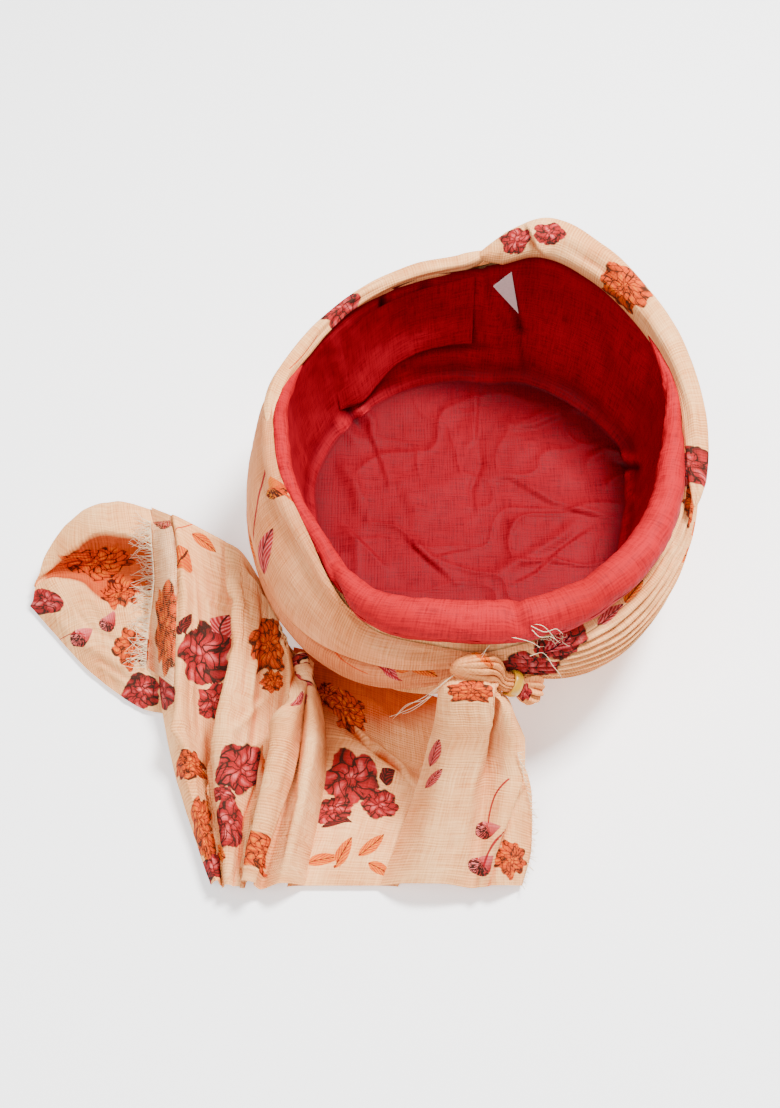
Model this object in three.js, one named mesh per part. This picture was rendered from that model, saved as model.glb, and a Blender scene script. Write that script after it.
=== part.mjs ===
// Tied turban (pagri), resting on its crown with the opening up, as a three.js model.
// Millimetres, +Z up. The origin is the centre of the flattened crown on the table,
// +Y points to the raised front peak and -Y to the knot, from which the tail of cloth hangs
// and lies in folds to the left of the turban.
//
// The cap is wound cloth around a lined bowl. Radii are measured from the Z axis and azimuths
// in degrees from +X towards +Y. Every wrap, roll and lining layer is placed by functions of
// azimuth on the cap's own outline, so that the layers nest with the same small gap.

import * as THREE from 'three';
import { ParametricGeometry } from 'three/addons/geometries/ParametricGeometry.js';
import { mergeVertices } from 'three/addons/utils/BufferGeometryUtils.js';

// Driving dimensions
const GAP = 0.4;                  // clearance between two cloth layers
const SPOKES = 48;                // azimuth divisions shared by everything wound round the cap
const STEP = 360 / SPOKES;
const LINING = 1.6;               // lining cloth with its backing
const LINING_FACE_IN = 0.8;       // share of the rim's roll that stands inside the lining's face
const CLOTH = 1.8;                // tail cloth, doubled muslin
const TABLE_EDGE_Z = 1.4;         // height at which a cloth's edge meets the table
const CROWN_FLAT = 58;            // radius of the crown facet that rests on the table
const FLOOR_Z = 24;               // lining crown, seen inside the bowl
const FLOOR_TAPER = 0.92;         // floor radius as a share of the mouth radius
const CAP_FLOOR = 20.4;           // top of the wound cloth under the lining crown
const BULGE_Z = 55;               // height of the widest part of the cap
const SHOULDER_OUT = 2;           // how far the cap's shoulder stands outside the rim's centre line
const SHOULDER_ROLL = 0.4;        // and how much more for each unit of the roll on it
const SHOULDER_DRAW = 1.6;        // how late the side draws in from its widest part to the shoulder
const PEAK_AZ = 75;               // azimuth of the raised front

const peach = new THREE.Color(0xf2d9bd);
const crimson = new THREE.Color(0xb02a33);

// The rolled rim: centre radius, centre height and roll radius at each azimuth.
// The front half is one thick roll of peach cloth, the rest a padded roll of red lining.
const FRONT_RIM = [
  { az: 30, r: 102.5, z: 95.5, roll: 6.5 },
  { az: 45, r: 107, z: 101, roll: 7.4 },
  { az: 60, r: 110.5, z: 107, roll: 8.6 },
  { az: PEAK_AZ, r: 112, z: 109.5, roll: 9 },
  { az: 84, r: 107.5, z: 103, roll: 7.2 },
];
const RIM = [
  { az: -45, r: 82.8, z: 86, roll: 8.2 },
  { az: -20, r: 82.8, z: 86.5, roll: 7 },
  { az: 0, r: 84, z: 87.5, roll: 5.6 },
  { az: 10, r: 87, z: 88.5, roll: 4.2 },
  { az: 20, r: 92.4, z: 91, roll: 3.4 },
  ...FRONT_RIM,
  { az: 92, r: 106.5, z: 96.5, roll: 4.6 },
  { az: 105, r: 106.5, z: 93, roll: 4 },
  { az: 125, r: 103.5, z: 91, roll: 3.5 },
  { az: 145, r: 99.5, z: 90, roll: 3.5 },
  { az: 160, r: 95.5, z: 89.5, roll: 3.6 },
  { az: 175, r: 89.5, z: 90, roll: 4 },
  { az: 190, r: 87, z: 90, roll: 4 },
  { az: 212, r: 84.5, z: 89.5, roll: 3.8 },
  { az: 226, r: 87.5, z: 88.5, roll: 5 },
  { az: 237, r: 90.5, z: 87, roll: 7 },
  { az: 247, r: 88, z: 86, roll: 9 },
  { az: 258, r: 85, z: 86, roll: 9 },
  { az: 290, r: 84, z: 86, roll: 9 },
];
// The lower end of the thick front roll, where it lies outside the red roll.
const FRONT_ROLL = [
  { az: -14, r: 95.5, z: 83.5, roll: 3 },
  { az: -5, r: 95, z: 86.5, roll: 4 },
  { az: 5, r: 95.6, z: 89, roll: 5 },
  { az: 15, r: 98, z: 91.5, roll: 5.4 },
  ...FRONT_RIM,
  { az: 90, r: 106, z: 99.5, roll: 5 },
];
// Widest radius of the wound cap under its outer wraps.
const CAP_BULGE = [
  { az: -30, r: 90 },
  { az: 0, r: 94.5 },
  { az: 20, r: 98 },
  { az: 40, r: 107.5 },
  { az: 60, r: 113 },
  { az: PEAK_AZ, r: 115 },
  { az: 90, r: 111 },
  { az: 110, r: 108 },
  { az: 130, r: 104 },
  { az: 150, r: 103.2 },
  { az: 190, r: 103 },
  { az: 225, r: 102.5 },
  { az: 245, r: 97 },
  { az: 262, r: 91.5 },
  { az: 280, r: 91 },
  { az: 305, r: 92 },
];
// How the cap's side rises from the crown facet to its widest part.
const CAP_SIDE = [
  { z: 4, share: 0.67 },
  { z: 11, share: 0.79 },
  { z: 20, share: 0.88 },
  { z: 31, share: 0.95 },
  { z: 43, share: 0.985 },
];

// Peach wraps of the outer cloth. low and high are heights on the cap, thick how far each
// stands off it.
const LEFT_BAND = [
  { az: 142.5, low: 67, high: 85, thick: 2 },
  { az: 165, low: 62, high: 92, thick: 4.4 },
  { az: 185, low: 57, high: 93, thick: 5 },
  { az: 205, low: 53, high: 92.5, thick: 5.2 },
  { az: 225, low: 53, high: 88, thick: 5.6 },
  { az: 240, low: 56, high: 77, thick: 5.6 },
  { az: 255, low: 61, high: 74.5, thick: 4.6 },
  { az: 262.5, low: 63, high: 72, thick: 2.6 },
];
const LEFT_LOWER = [
  { az: 142.5, low: 33, high: 64.5, thick: 3 },
  { az: 180, low: 25, high: 57, thick: 4 },
  { az: 205, low: 23, high: 52, thick: 4.2 },
  { az: 225, low: 23, high: 52, thick: 5.2 },
  { az: 240, low: 29, high: 55, thick: 5.2 },
  { az: 255, low: 46, high: 59.5, thick: 4.4 },
  { az: 262.5, low: 52, high: 61.5, thick: 2.6 },
];
// The pleated wraps spread from the knot round the right side and the front as one fan.
const PLEATS = 4;
const PLEAT_FAN = [
  { az: -82.5, low: 53, high: 75, thick: 2.6 },
  { az: -70, low: 45, high: 77, thick: 6 },
  { az: -45, low: 32, high: 78, thick: 6 },
  { az: -15, low: 20, high: 79, thick: 4.6 },
  { az: 15, low: 16, high: 83, thick: 3.6 },
  { az: 45, low: 15, high: 91, thick: 4 },
  { az: PEAK_AZ, low: 15, high: 97, thick: 4 },
  { az: 100, low: 16, high: 87, thick: 3.6 },
  { az: 130, low: 16, high: 85, thick: 3.6 },
  { az: 150, low: 11, high: 88, thick: 3.6 },
  { az: 190, low: 6, high: 69, thick: 3.4 },
  { az: 225, low: 6, high: 68, thick: 3.4 },
  { az: 243, low: 12, high: 72, thick: 3.2 },
  { az: 262, low: 34, high: 92, thick: 2.4 },
];
// Only the lowest pleat runs on under the knot; the left bands take over from the others.
const PLEAT_ENDS = [262, 141.8, 141.8, 141.8];
const WRAP_CLEAR = 1.8 * GAP;     // under a wrap, so that its flat facets miss the cap's
const WRAP_EDGE = 0.9;            // cloth thickness at a wrap's two long edges
const WRAP_ROUND = 0.7;           // how full a wrap's swell is; 1 is a plain half wave
const WRAP_CELLS = { band: 7, pleat: 4 };

// The turned-in hem of the lining on the inner wall: heights of its lower and upper edge.
const HEM_FLAP = [
  { az: 90, low: 47.5, high: 92 },
  { az: 97.5, low: 46.5, high: 88 },
  { az: 112.5, low: 42, high: 84 },
  { az: 127.5, low: 30, high: 80 },
  { az: 135, low: 34, high: 70 },
];
const HEM_CLOTH = 1.2;

// Ridges of loose lining on the bowl's floor, from one end to the other.
const FLOOR_SAG = 0.6;
const FLOOR_HOLD = 6;             // how close to the wall the floor's seam holds the loose lining
const FLOOR_FOLDS = [
  { from: [4, 84], to: [-4, 30], high: 2.2, wide: 7 },
  { from: [-36, -10], to: [-12, -52], high: 1.8, wide: 8 },
  { from: [8, -20], to: [-6, -58], high: 1.6, wide: 8 },
  { from: [48, 30], to: [76, 12], high: 1.8, wide: 8 },
  { from: [-58, 60], to: [-34, 34], high: 2.2, wide: 7 },
  { from: [74, 42], to: [50, 36], high: 2.2, wide: 7 },
];

// The knot is gathered along its own axis, which slopes down to the right.
// bow is how far its belly leans in against the cap, and bellyEnd where its neck starts.
// round is how full the belly is, and opening how fast the tip widens to the neck's radius.
const KNOT = {
  at: [0, -98.6, 66.5], slope: 31, half: 17.5, wide: 10.5, deep: 5.8, neck: 3.9, bow: 1.9, bellyEnd: 0.78,
  round: 0.6, opening: 4,
};
const KNOT_PLEATS = 7;
const PLEAT_DEPTH = { belly: 0.08, band: 0.024 };
const RUBBER = { at: 13.3, wide: 4.6, inner: 4.4, thick: 1.5, bevel: 0.5 };
const TUFT = { from: 15.9, long: 11.5, profile: [[0, 0], [3.2, 0.2], [5.6, 3.4], [6.3, 6.6], [4.6, 10.2]] };

// Folds of the tail. Each row is one fold line of the cloth, as points from the turban's
// side down to the near edge, and the cloth is stretched across the rows.
const FAN_FOLDS = [
  { fold: 'left edge', line: [[-155, 13, 30], [-151, -32, 18], [-143, -95, 4], [-118, -167, 3]] },
  { fold: 'ridge', line: [[-142, 2, 35], [-139, -41, 33], [-136, -98, 20], [-115, -168, 11]] },
  { fold: 'valley', line: [[-130, -2, 31], [-127, -45, 23], [-127, -99, 10], [-113.4, -169, 5]] },
  { fold: 'valley', line: [[-119, -9, 32], [-115, -50, 24], [-119, -104, 9], [-112, -169, 5]] },
  { fold: 'ridge', line: [[-111, -17, 36], [-109, -53, 35], [-113, -108, 22], [-109.6, -170, 12]] },
  { fold: 'slope', line: [[-101, -31, 32], [-99, -57, 31], [-102, -112, 15], [-106, -170, 8]] },
  { fold: 'valley', line: [[-94, -41, 26], [-89, -68, 26], [-95, -112, 11], [-103.4, -170, 6]] },
  { fold: 'ridge', line: [[-92, -50, 27], [-85, -78, 37], [-88, -111, 30], [-100.6, -170, 16]] },
  { fold: 'valley', line: [[-89, -56, 23], [-80, -80, 25], [-82, -110, 16], [-96, -170, 6]] },
  { fold: 'ridge', line: [[-84.8, -61.2, 22], [-76, -86, 32], [-76, -118, 27], [-87, -170, 14]] },
  { fold: 'right edge', line: [[-78.4, -62, 6], [-70, -90, 4], [-69.5, -118, 4], [-77.5, -167, 3]] },
];
const NEAR_FOLDS = [
  { fold: 'left edge', line: [[-21, -103, 64], [-24, -116.5, 33], [-34, -140, 11], [-45, -167, 2.6]] },
  { fold: 'left lobe', line: [[-13, -105.4, 69.5], [-14, -122.5, 46], [-22, -146, 25], [-33, -169, 11]] },
  { fold: 'left lobe', line: [[-3, -105, 69], [-4, -122.5, 44], [-9, -147, 26], [-17, -170, 13]] },
  { fold: 'crease', line: [[3, -104.6, 64], [1.5, -118, 37], [-1, -143, 20], [-5, -170, 8]] },
  { fold: 'right lobe', line: [[9, -105.8, 63.5], [10, -121, 40], [8, -145, 24], [4, -170, 11]] },
  { fold: 'right edge', line: [[15, -103.8, 54.5], [17.5, -116, 27], [18.5, -142, 7], [16, -167, 2.6]] },
];
const END_FOLDS = [
  { fold: 'back hem', line: [[-155.3, 21, 2], [-172, 23, 2], [-188, 18, 2], [-202, 4, 2], [-210, -16, 2]] },
  { fold: 'back rim', line: [
    [-155.3, 11, 27], [-172, 13, 31], [-188, 10, 28], [-202, -3, 20], [-211, -20, 8],
  ] },
  { fold: 'hollow', line: [
    [-154.4, -10, 8], [-172, -12, 7], [-188, -14, 8], [-202, -17, 10], [-212, -24, 8],
  ] },
  { fold: 'lip', line: [
    [-153.4, -34, 13], [-172, -34, 19], [-188, -33, 18], [-203, -30, 14], [-212, -29, 8],
  ] },
  { fold: 'front', line: [
    [-149, -60, 9], [-170, -58, 14], [-187, -50, 11], [-202, -40, 9], [-211.5, -33, 6],
  ] },
  { fold: 'front hem', line: [
    [-147, -80, 2], [-168, -72, 2], [-187, -60, 2], [-202, -47, 2], [-210, -37, 2],
  ] },
];
// The broad sheet lies on the table between the fan and the near panel, with one fold step
// running across it.
const SHEET_Z = 2.6;
const SHEET_SWELL = 2.4;
const SHEET_CLEAR = { fan: 1.5, near: 1.05 };
const SHEET_SPREAD = 3;           // how fast the sheet widens from its back edge
const EDGE_SAMPLES = 60;
const SHEET_STEP = { from: [-72, -81], to: [-27, -131], high: 5, wide: 9 };
const SHEET_BACK = [[-74, -54], [-60, -58], [-45, -64], [-30, -72], [-17, -77]];
const SHEET_NEAR = -167;

// The label's visible corner: azimuth and height of its three corners on the lining's face.
const LABEL = { corners: [[85, 86], [80.5, 95.5], [77.5, 68]], thick: 0.6, off: 0.6 };

// Shared helpers
const radians = THREE.MathUtils.degToRad;
const mix = THREE.MathUtils.lerp;
const point = (x, y, z) => new THREE.Vector3(x, y, z);

function polar(az, r, z) {
  return point(r * Math.cos(radians(az)), r * Math.sin(radians(az)), z);
}

// Smooth curve through a table's rows: a function from azimuth to the row's other columns.
function through(rows, turns = false) {
  const columns = Object.keys(rows[0]).filter((column) => column !== 'az');
  const shifted = (list, by) => list.map((row) => ({ ...row, az: row.az + by }));
  const round = [...shifted(rows.slice(-3), -360), ...rows, ...shifted(rows.slice(0, 3), 360)];
  const all = turns ? round : rows;
  const curve = new THREE.CubicInterpolant(
    Float64Array.from(all, (row) => row.az),
    Float64Array.from(all.flatMap((row) => columns.map((column) => row[column]))),
    columns.length,
  );
  const first = rows[0].az;
  return (az) => {
    const wrapped = turns ? first + THREE.MathUtils.euclideanModulo(az - first, 360) : az;
    const values = curve.evaluate(wrapped);
    return Object.fromEntries(columns.map((column, i) => [column, values[i]]));
  };
}

// A closed body from a grid of points, with its faces turned outwards.
function solid(geometry) {
  geometry.deleteAttribute('normal');
  geometry.deleteAttribute('uv');
  const merged = mergeVertices(geometry, 1e-4);
  const corners = merged.index.array;
  const [a, b, c] = [point(), point(), point()];
  let faces = [];
  let volume = 0;
  for (let i = 0; i < corners.length; i += 3) {
    const [p, q, r] = corners.slice(i, i + 3);
    if (p === q || q === r || r === p) continue;
    faces.push([p, q, r]);
    a.fromBufferAttribute(merged.attributes.position, p);
    b.fromBufferAttribute(merged.attributes.position, q);
    c.fromBufferAttribute(merged.attributes.position, r);
    volume += a.dot(b.cross(c));
  }
  if (volume < 0) faces = faces.map((face) => face.reverse());
  merged.setIndex(faces.flat());
  merged.computeVertexNormals();
  return merged;
}

// A skin whose section is a closed loop of `around` points, carried through `length` steps.
function skin(length, around, place) {
  const surface = (u, v, target) => {
    target.copy(place(Math.round(u * length), Math.round(v * around) % around));
  };
  return solid(new ParametricGeometry(surface, length, around));
}

function named(name, geometry, color, roughness) {
  const material = new THREE.MeshStandardMaterial({ color, roughness, metalness: 0 });
  const mesh = new THREE.Mesh(geometry, material);
  mesh.name = name;
  return mesh;
}

// Outline of the cap and its lining
const rimAt = through(RIM, true);
const bulgeAt = through(CAP_BULGE, true);
const frontRollAt = through(FRONT_ROLL);

// Depth of a roll's surface under its centre, `out` from the centre line.
const rollDepth = (roll, out) => Math.sqrt(Math.max(roll * roll - out * out, 0));

// Radius of the lining's visible face: straight wall from the bowl's floor to the rim.
function liningFace(az, z) {
  const rim = rimAt(az);
  const mouth = rim.r - LINING_FACE_IN * rim.roll;
  const top = liningTop(az);
  const rise = THREE.MathUtils.clamp((z - FLOOR_Z) / (top - FLOOR_Z), 0, 1);
  return mouth * mix(FLOOR_TAPER, 1, Math.sin(rise * Math.PI / 2));
}

function liningTop(az) {
  const rim = rimAt(az);
  return rim.z - rollDepth(rim.roll, LINING_FACE_IN * rim.roll - LINING) - GAP;
}

// Outer side of the wound cap at one azimuth, from the crown facet up, as [radius, height].
function capSide(az) {
  const rim = rimAt(az);
  const bulge = bulgeAt(az).r;
  const rolls = az > -15 && az < 91 ? [rim, frontRollAt(az)] : [rim];
  const top = Math.min(...rolls.map((row) => row.z - row.roll)) - GAP;
  const shoulder = rim.r + SHOULDER_OUT + SHOULDER_ROLL * rim.roll;
  const rises = [0, 0.35, 0.7, 1];
  const upper = rises.map((rise) => [mix(bulge, shoulder, rise ** SHOULDER_DRAW), mix(BULGE_Z, top, rise)]);
  return [[CROWN_FLAT, 0], ...CAP_SIDE.map(({ z, share }) => [bulge * share, z]), ...upper];
}

// Azimuth measured as the tables run, from -90 to 270.
const tableAzimuth = (az) => THREE.MathUtils.euclideanModulo(az + 90, 360) - 90;

// Outermost radius of the cap and its red roll at a height, where a wrap lies.
function coreRadius(az, z) {
  const side = capSide(tableAzimuth(az));
  const [topR, topZ] = side[side.length - 1];
  if (z >= topZ) {
    const rim = rimAt(az);
    const roll = rim.r + rollDepth(rim.roll + 2 * GAP, z - rim.z);
    return Math.max(roll, mix(topR, rim.r, Math.min((z - topZ) / (2 * rim.roll), 1)));
  }
  const above = side.findIndex(([, height]) => height >= z);
  const [r0, z0] = side[above - 1];
  const [r1, z1] = side[above];
  return mix(r0, r1, (z - z0) / (z1 - z0));
}

// The wound cap: crown facet, outer side, rim ledge, inner wall and floor.
function capBody() {
  const innerRises = [1, 0.66, 0.33, 0];
  const sections = Array.from({ length: SPOKES }, (_, i) => {
    const az = tableAzimuth(i * STEP);
    const side = capSide(az);
    const top = side[side.length - 1][1];
    const wall = innerRises.map((rise) => {
      const z = mix(CAP_FLOOR, top, rise);
      return [liningFace(az, z) + LINING + GAP, z];
    });
    return [[0, 0], ...side, ...wall, [0, CAP_FLOOR]].map(([r, z]) => polar(az, r, z));
  });
  return skin(SPOKES, sections[0].length, (i, k) => sections[i % SPOKES][k]);
}

function liningWall() {
  const rises = [0, 0.3, 0.65, 1];
  const foot = FLOOR_Z - LINING;
  return skin(SPOKES, 2 * rises.length, (i, k) => {
    const az = i * STEP;
    const inside = k < rises.length;
    const rise = inside ? rises[k] : rises[2 * rises.length - 1 - k];
    const z = mix(foot, liningTop(az), rise);
    return polar(az, liningFace(az, z) + (inside ? 0 : LINING), z);
  });
}

// Height of the loose lining over the bowl's floor: its folds and a slight sag.
function floorRelief(x, y) {
  const spot = point(x, y, 0);
  const near = point();
  return FLOOR_FOLDS.reduce((height, fold) => {
    const ridge = new THREE.Line3(point(...fold.from, 0), point(...fold.to, 0));
    ridge.closestPointToPoint(spot, true, near);
    const away = near.distanceTo(spot) / fold.wide;
    return height + fold.high * Math.exp(-away * away);
  }, -FLOOR_SAG);
}

function liningFloor() {
  const rings = [0, 0.2, 0.42, 0.64, 0.84, 1];
  return skin(SPOKES, 2 * rings.length, (i, k) => {
    const az = i * STEP;
    const topSide = k < rings.length;
    const ring = topSide ? rings[k] : rings[2 * rings.length - 1 - k];
    const r = ring * (liningFace(az, FLOOR_Z) - GAP);
    const spot = polar(az, r, 0);
    const loose = 1 - ring ** FLOOR_HOLD;
    const relief = floorRelief(spot.x, spot.y) * loose - FLOOR_SAG;
    return spot.setZ(FLOOR_Z + relief - (topSide ? 0 : LINING));
  });
}

function hemFlap() {
  const hemAt = through(HEM_FLAP);
  const shares = [0, 0.5, 1];
  const from = HEM_FLAP[0].az;
  const steps = (HEM_FLAP[HEM_FLAP.length - 1].az - from) / STEP;
  return skin(steps, 2 * shares.length, (i, k) => {
    const az = from + i * STEP;
    const hem = hemAt(az);
    const backSide = k < shares.length;
    const share = backSide ? shares[k] : shares[2 * shares.length - 1 - k];
    const ends = i === 0 || i === steps ? 0 : 1;
    const z = mix(hem.low, hem.high, share);
    return polar(az, liningFace(az, z) - GAP - (backSide ? 0 : HEM_CLOTH * ends), z);
  });
}

// A padded roll along the rim, with pinched ends.
function rimRoll(rowAt, from, to, sides) {
  const steps = (to - from) / STEP;
  return skin(steps, sides, (i, k) => {
    const az = from + i * STEP;
    const row = rowAt(az);
    const open = Math.min(i, steps - i, 2) / 2;
    const radius = row.roll * Math.sqrt(open);
    const turn = 2 * Math.PI * k / sides;
    return polar(az, row.r + radius * Math.cos(turn), row.z + radius * Math.sin(turn));
  });
}

// A flat wrap that lies on the cap between two heights and swells away from it.
function wrapBand(rowAt, from, to, cells) {
  const shares = Array.from({ length: cells + 1 }, (_, i) => i / cells);
  const steps = Math.round((to - from) / STEP);
  return skin(steps, 2 * shares.length, (i, k) => {
    const az = Math.min(from + i * STEP, to);
    const row = rowAt(az);
    const inside = k < shares.length;
    const share = inside ? shares[k] : shares[2 * shares.length - 1 - k];
    const z = mix(row.low, row.high, share);
    const open = Math.min(i, steps - i, 1);
    const swell = mix(WRAP_EDGE, row.thick, Math.sin(Math.PI * share) ** WRAP_ROUND);
    return polar(az, coreRadius(az, z) + WRAP_CLEAR + (inside ? 0 : swell * open), z);
  });
}

// One pleat of the fan takes its share of the fan's height.
function pleatRow(index) {
  const fanAt = through(PLEAT_FAN);
  return (az) => {
    const fan = fanAt(az);
    const height = (fan.high - fan.low) / PLEATS;
    const low = fan.low + index * height;
    return { low: low + GAP / 2, high: low + height - GAP / 2, thick: fan.thick };
  };
}

// Cloth sheets: a net of fold lines, smoothed both ways and given a thickness
function sheet(folds, rows, columns, tucks) {
  const smooth = (spots) => new THREE.CatmullRomCurve3(spots, false, 'centripetal');
  const lines = folds.map(({ line }) => smooth(line.map((p) => point(...p))));
  const net = Array.from({ length: rows + 1 }, (_, i) => {
    const across = lines.map((line) => line.getPoint(i / rows));
    const curve = smooth(across);
    return Array.from({ length: columns + 1 }, (_, j) => curve.getPoint(j / columns));
  });
  tucks.forEach(({ row, shift }) => {
    const edge = net[row === 'first' ? 0 : net.length - 1];
    const tucked = edge.map((spot) => shift(spot.clone()));
    if (row === 'first') net.unshift(tucked);
    else net.push(tucked);
  });
  return thicken(net);
}

// Closed wall around a net of mid-surface points, thinned to nothing at its first and last row.
function thicken(net) {
  const last = net.length - 1;
  const width = net[0].length;
  const away = (i, j) => {
    const before = net[Math.max(i - 1, 0)][j];
    const after = net[Math.min(i + 1, last)][j];
    const left = net[i][Math.max(j - 1, 0)];
    const right = net[i][Math.min(j + 1, width - 1)];
    const normal = after.clone().sub(before).cross(right.clone().sub(left)).normalize();
    return normal.z < 0 ? normal.negate() : normal;
  };
  return skin(last, 2 * width, (i, k) => {
    const upper = k < width;
    const j = upper ? k : 2 * width - 1 - k;
    const half = i === 0 || i === last ? 0 : CLOTH / 2;
    return net[i][j].clone().addScaledVector(away(i, j), upper ? half : -half);
  });
}

// A tuck folds a sheet's first or last edge down to the table.
const FOOT_OUT = 0.6;
const CREST = { inward: 0.98, back: 3.4 };
const footTuck = { row: 'last', shift: (spot) => point(spot.x, spot.y - FOOT_OUT, TABLE_EDGE_Z) };
const crestTuck = {
  row: 'first', shift: (spot) => point(spot.x * CREST.inward, spot.y + CREST.back, TABLE_EDGE_Z),
};

function tailFan() {
  return sheet(FAN_FOLDS, 14, 20, [crestTuck, footTuck]);
}

function tailNear() {
  return sheet(NEAR_FOLDS, 12, 12, [footTuck]);
}

function tailEnd() {
  return sheet(END_FOLDS, 10, 12, []);
}

// The broad sheet fills the table between the fan's right edge and the near panel's left edge.
function tailSheet() {
  const rows = 11;
  const columns = 11;
  const curveOf = (line) => new THREE.CatmullRomCurve3(line.map(([x, y, z = 0]) => point(x, y, z)));
  const fanEdge = curveOf(FAN_FOLDS.at(-1).line).getPoints(EDGE_SAMPLES);
  const nearEdge = curveOf(NEAR_FOLDS[0].line).getPoints(EDGE_SAMPLES);
  const back = curveOf(SHEET_BACK);
  const nearest = (y) => (a, b) => (Math.abs(b.y - y) < Math.abs(a.y - y) ? b : a);
  const step = new THREE.Line3(point(...SHEET_STEP.from, 0), point(...SHEET_STEP.to, 0));
  const foot = point();
  const place = (i, j) => {
    const start = back.getPoint(j / columns);
    const y = mix(start.y, SHEET_NEAR, i / rows);
    const left = fanEdge.reduce(nearest(y)).x + SHEET_CLEAR.fan;
    const right = nearEdge.reduce(nearest(y)).x - SHEET_CLEAR.near;
    const spread = Math.min(SHEET_SPREAD * i / rows, 1);
    const spot = point(mix(start.x, mix(left, right, j / columns), spread), y, 0);
    step.closestPointToPoint(spot, true, foot);
    const off = foot.distanceTo(spot) / SHEET_STEP.wide;
    const loose = Math.sin(Math.PI * i / rows) * Math.sin(Math.PI * j / columns);
    const rise = (SHEET_SWELL + SHEET_STEP.high * Math.exp(-off * off)) * loose;
    return spot.setZ(i === 0 ? TABLE_EDGE_Z : SHEET_Z + rise);
  };
  const indices = (count) => Array.from({ length: count + 1 }, (_, i) => i);
  const net = indices(rows).map((i) => indices(columns).map((j) => place(i, j)));
  net.push(net[rows].map(footTuck.shift));
  return thicken(net);
}

// The knot: gathered cloth with pleats along its axis, drawn in to a neck at the right
function knotBody() {
  const steps = 10;
  const sides = 2 * KNOT_PLEATS;
  return skin(steps, sides, (i, k) => {
    const along = i / steps;
    const x = mix(-KNOT.half, RUBBER.at + RUBBER.wide / 2, along);
    const belly = Math.sin(Math.PI * Math.min(along / KNOT.bellyEnd, 1)) ** KNOT.round;
    const neck = KNOT.neck * Math.min(along * KNOT.opening, 1);
    const depth = along > KNOT.bellyEnd ? PLEAT_DEPTH.band : PLEAT_DEPTH.belly;
    const pleat = 1 + depth * (k % 2 ? -1 : 1);
    const ends = i === 0 || i === steps ? 0 : pleat;
    const wide = Math.max(KNOT.wide * belly, neck) * ends;
    const deep = Math.max(KNOT.deep * belly, neck) * ends;
    const turn = 2 * Math.PI * k / sides;
    return point(x, KNOT.bow * belly + deep * Math.cos(turn), wide * Math.sin(turn));
  });
}

// A body turned about the knot's axis, from a profile of [radius, place along the axis].
function turned(profile, sides) {
  const geometry = new THREE.LatheGeometry(profile.map(([r, along]) => new THREE.Vector2(r, along)), sides);
  geometry.rotateZ(-Math.PI / 2);
  return solid(geometry);
}

function knotTuft() {
  return turned([...TUFT.profile, [0, TUFT.long]], 12);
}

function rubberBand() {
  const { inner, thick, bevel } = RUBBER;
  const half = RUBBER.wide / 2;
  const flat = half - bevel;
  const outer = inner + thick;
  return turned([[inner, -half], [outer, -flat], [outer, flat], [inner, half], [inner, -half]], 20);
}

// Blank cloth label: only its corner stands out of the lining's seam
function labelCorner() {
  const back = LABEL.corners.map(([az, z]) => polar(az, liningFace(az, z) - LABEL.off, z));
  const front = back.map((p) => p.clone().setY(p.y - LABEL.thick));
  const geometry = new THREE.BufferGeometry().setFromPoints([...back, ...front]);
  geometry.setIndex([0, 2, 1, 3, 4, 5, 0, 1, 4, 0, 4, 3, 1, 2, 5, 1, 5, 4, 2, 0, 3, 2, 3, 5]);
  return solid(geometry);
}

// Assembly
const turban = new THREE.Group();
turban.add(named('cap_body', capBody(), peach, 0.85));
turban.add(named('lining_wall', liningWall(), crimson, 0.6));
turban.add(named('lining_floor', liningFloor(), crimson, 0.6));
turban.add(named('lining_hem', hemFlap(), crimson, 0.6));
turban.add(named('rim_roll', rimRoll(rimAt, 157.5, 382.5, 10), crimson, 0.6));
turban.add(named('front_roll', rimRoll(frontRollAt, -15, 90, 10), peach, 0.85));
turban.add(named('edge_roll', rimRoll(rimAt, 97.5, 157.5 - STEP, 8), peach, 0.85));
turban.add(named('left_band', wrapBand(through(LEFT_BAND), 142.5, 262.5, WRAP_CELLS.band), peach, 0.85));
const lowerBand = wrapBand(through(LEFT_LOWER), 142.5, 262.5, WRAP_CELLS.band);
turban.add(named('left_lower_band', lowerBand, peach, 0.85));
PLEAT_ENDS.forEach((end, index) => {
  const pleat = wrapBand(pleatRow(index), -82.5, end, WRAP_CELLS.pleat);
  turban.add(named(`pleat_${index + 1}`, pleat, peach, 0.85));
});

const knot = new THREE.Group();
knot.position.set(...KNOT.at);
knot.rotation.y = radians(KNOT.slope);
knot.add(named('knot', knotBody(), peach, 0.85));
const rubber = named('rubber_band', rubberBand(), new THREE.Color(0xb8a832), 0.5);
rubber.position.x = RUBBER.at;
const tuft = named('knot_tuft', knotTuft(), peach, 0.9);
tuft.position.x = TUFT.from;
knot.add(rubber, tuft);
turban.add(knot);

turban.add(named('tail_near', tailNear(), peach, 0.85));
turban.add(named('tail_sheet', tailSheet(), peach, 0.85));
turban.add(named('tail_fan', tailFan(), peach, 0.85));
turban.add(named('tail_end', tailEnd(), peach, 0.85));
turban.add(named('label', labelCorner(), new THREE.Color(0xd8cfcb), 0.7));

export default turban;
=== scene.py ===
import math

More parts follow.
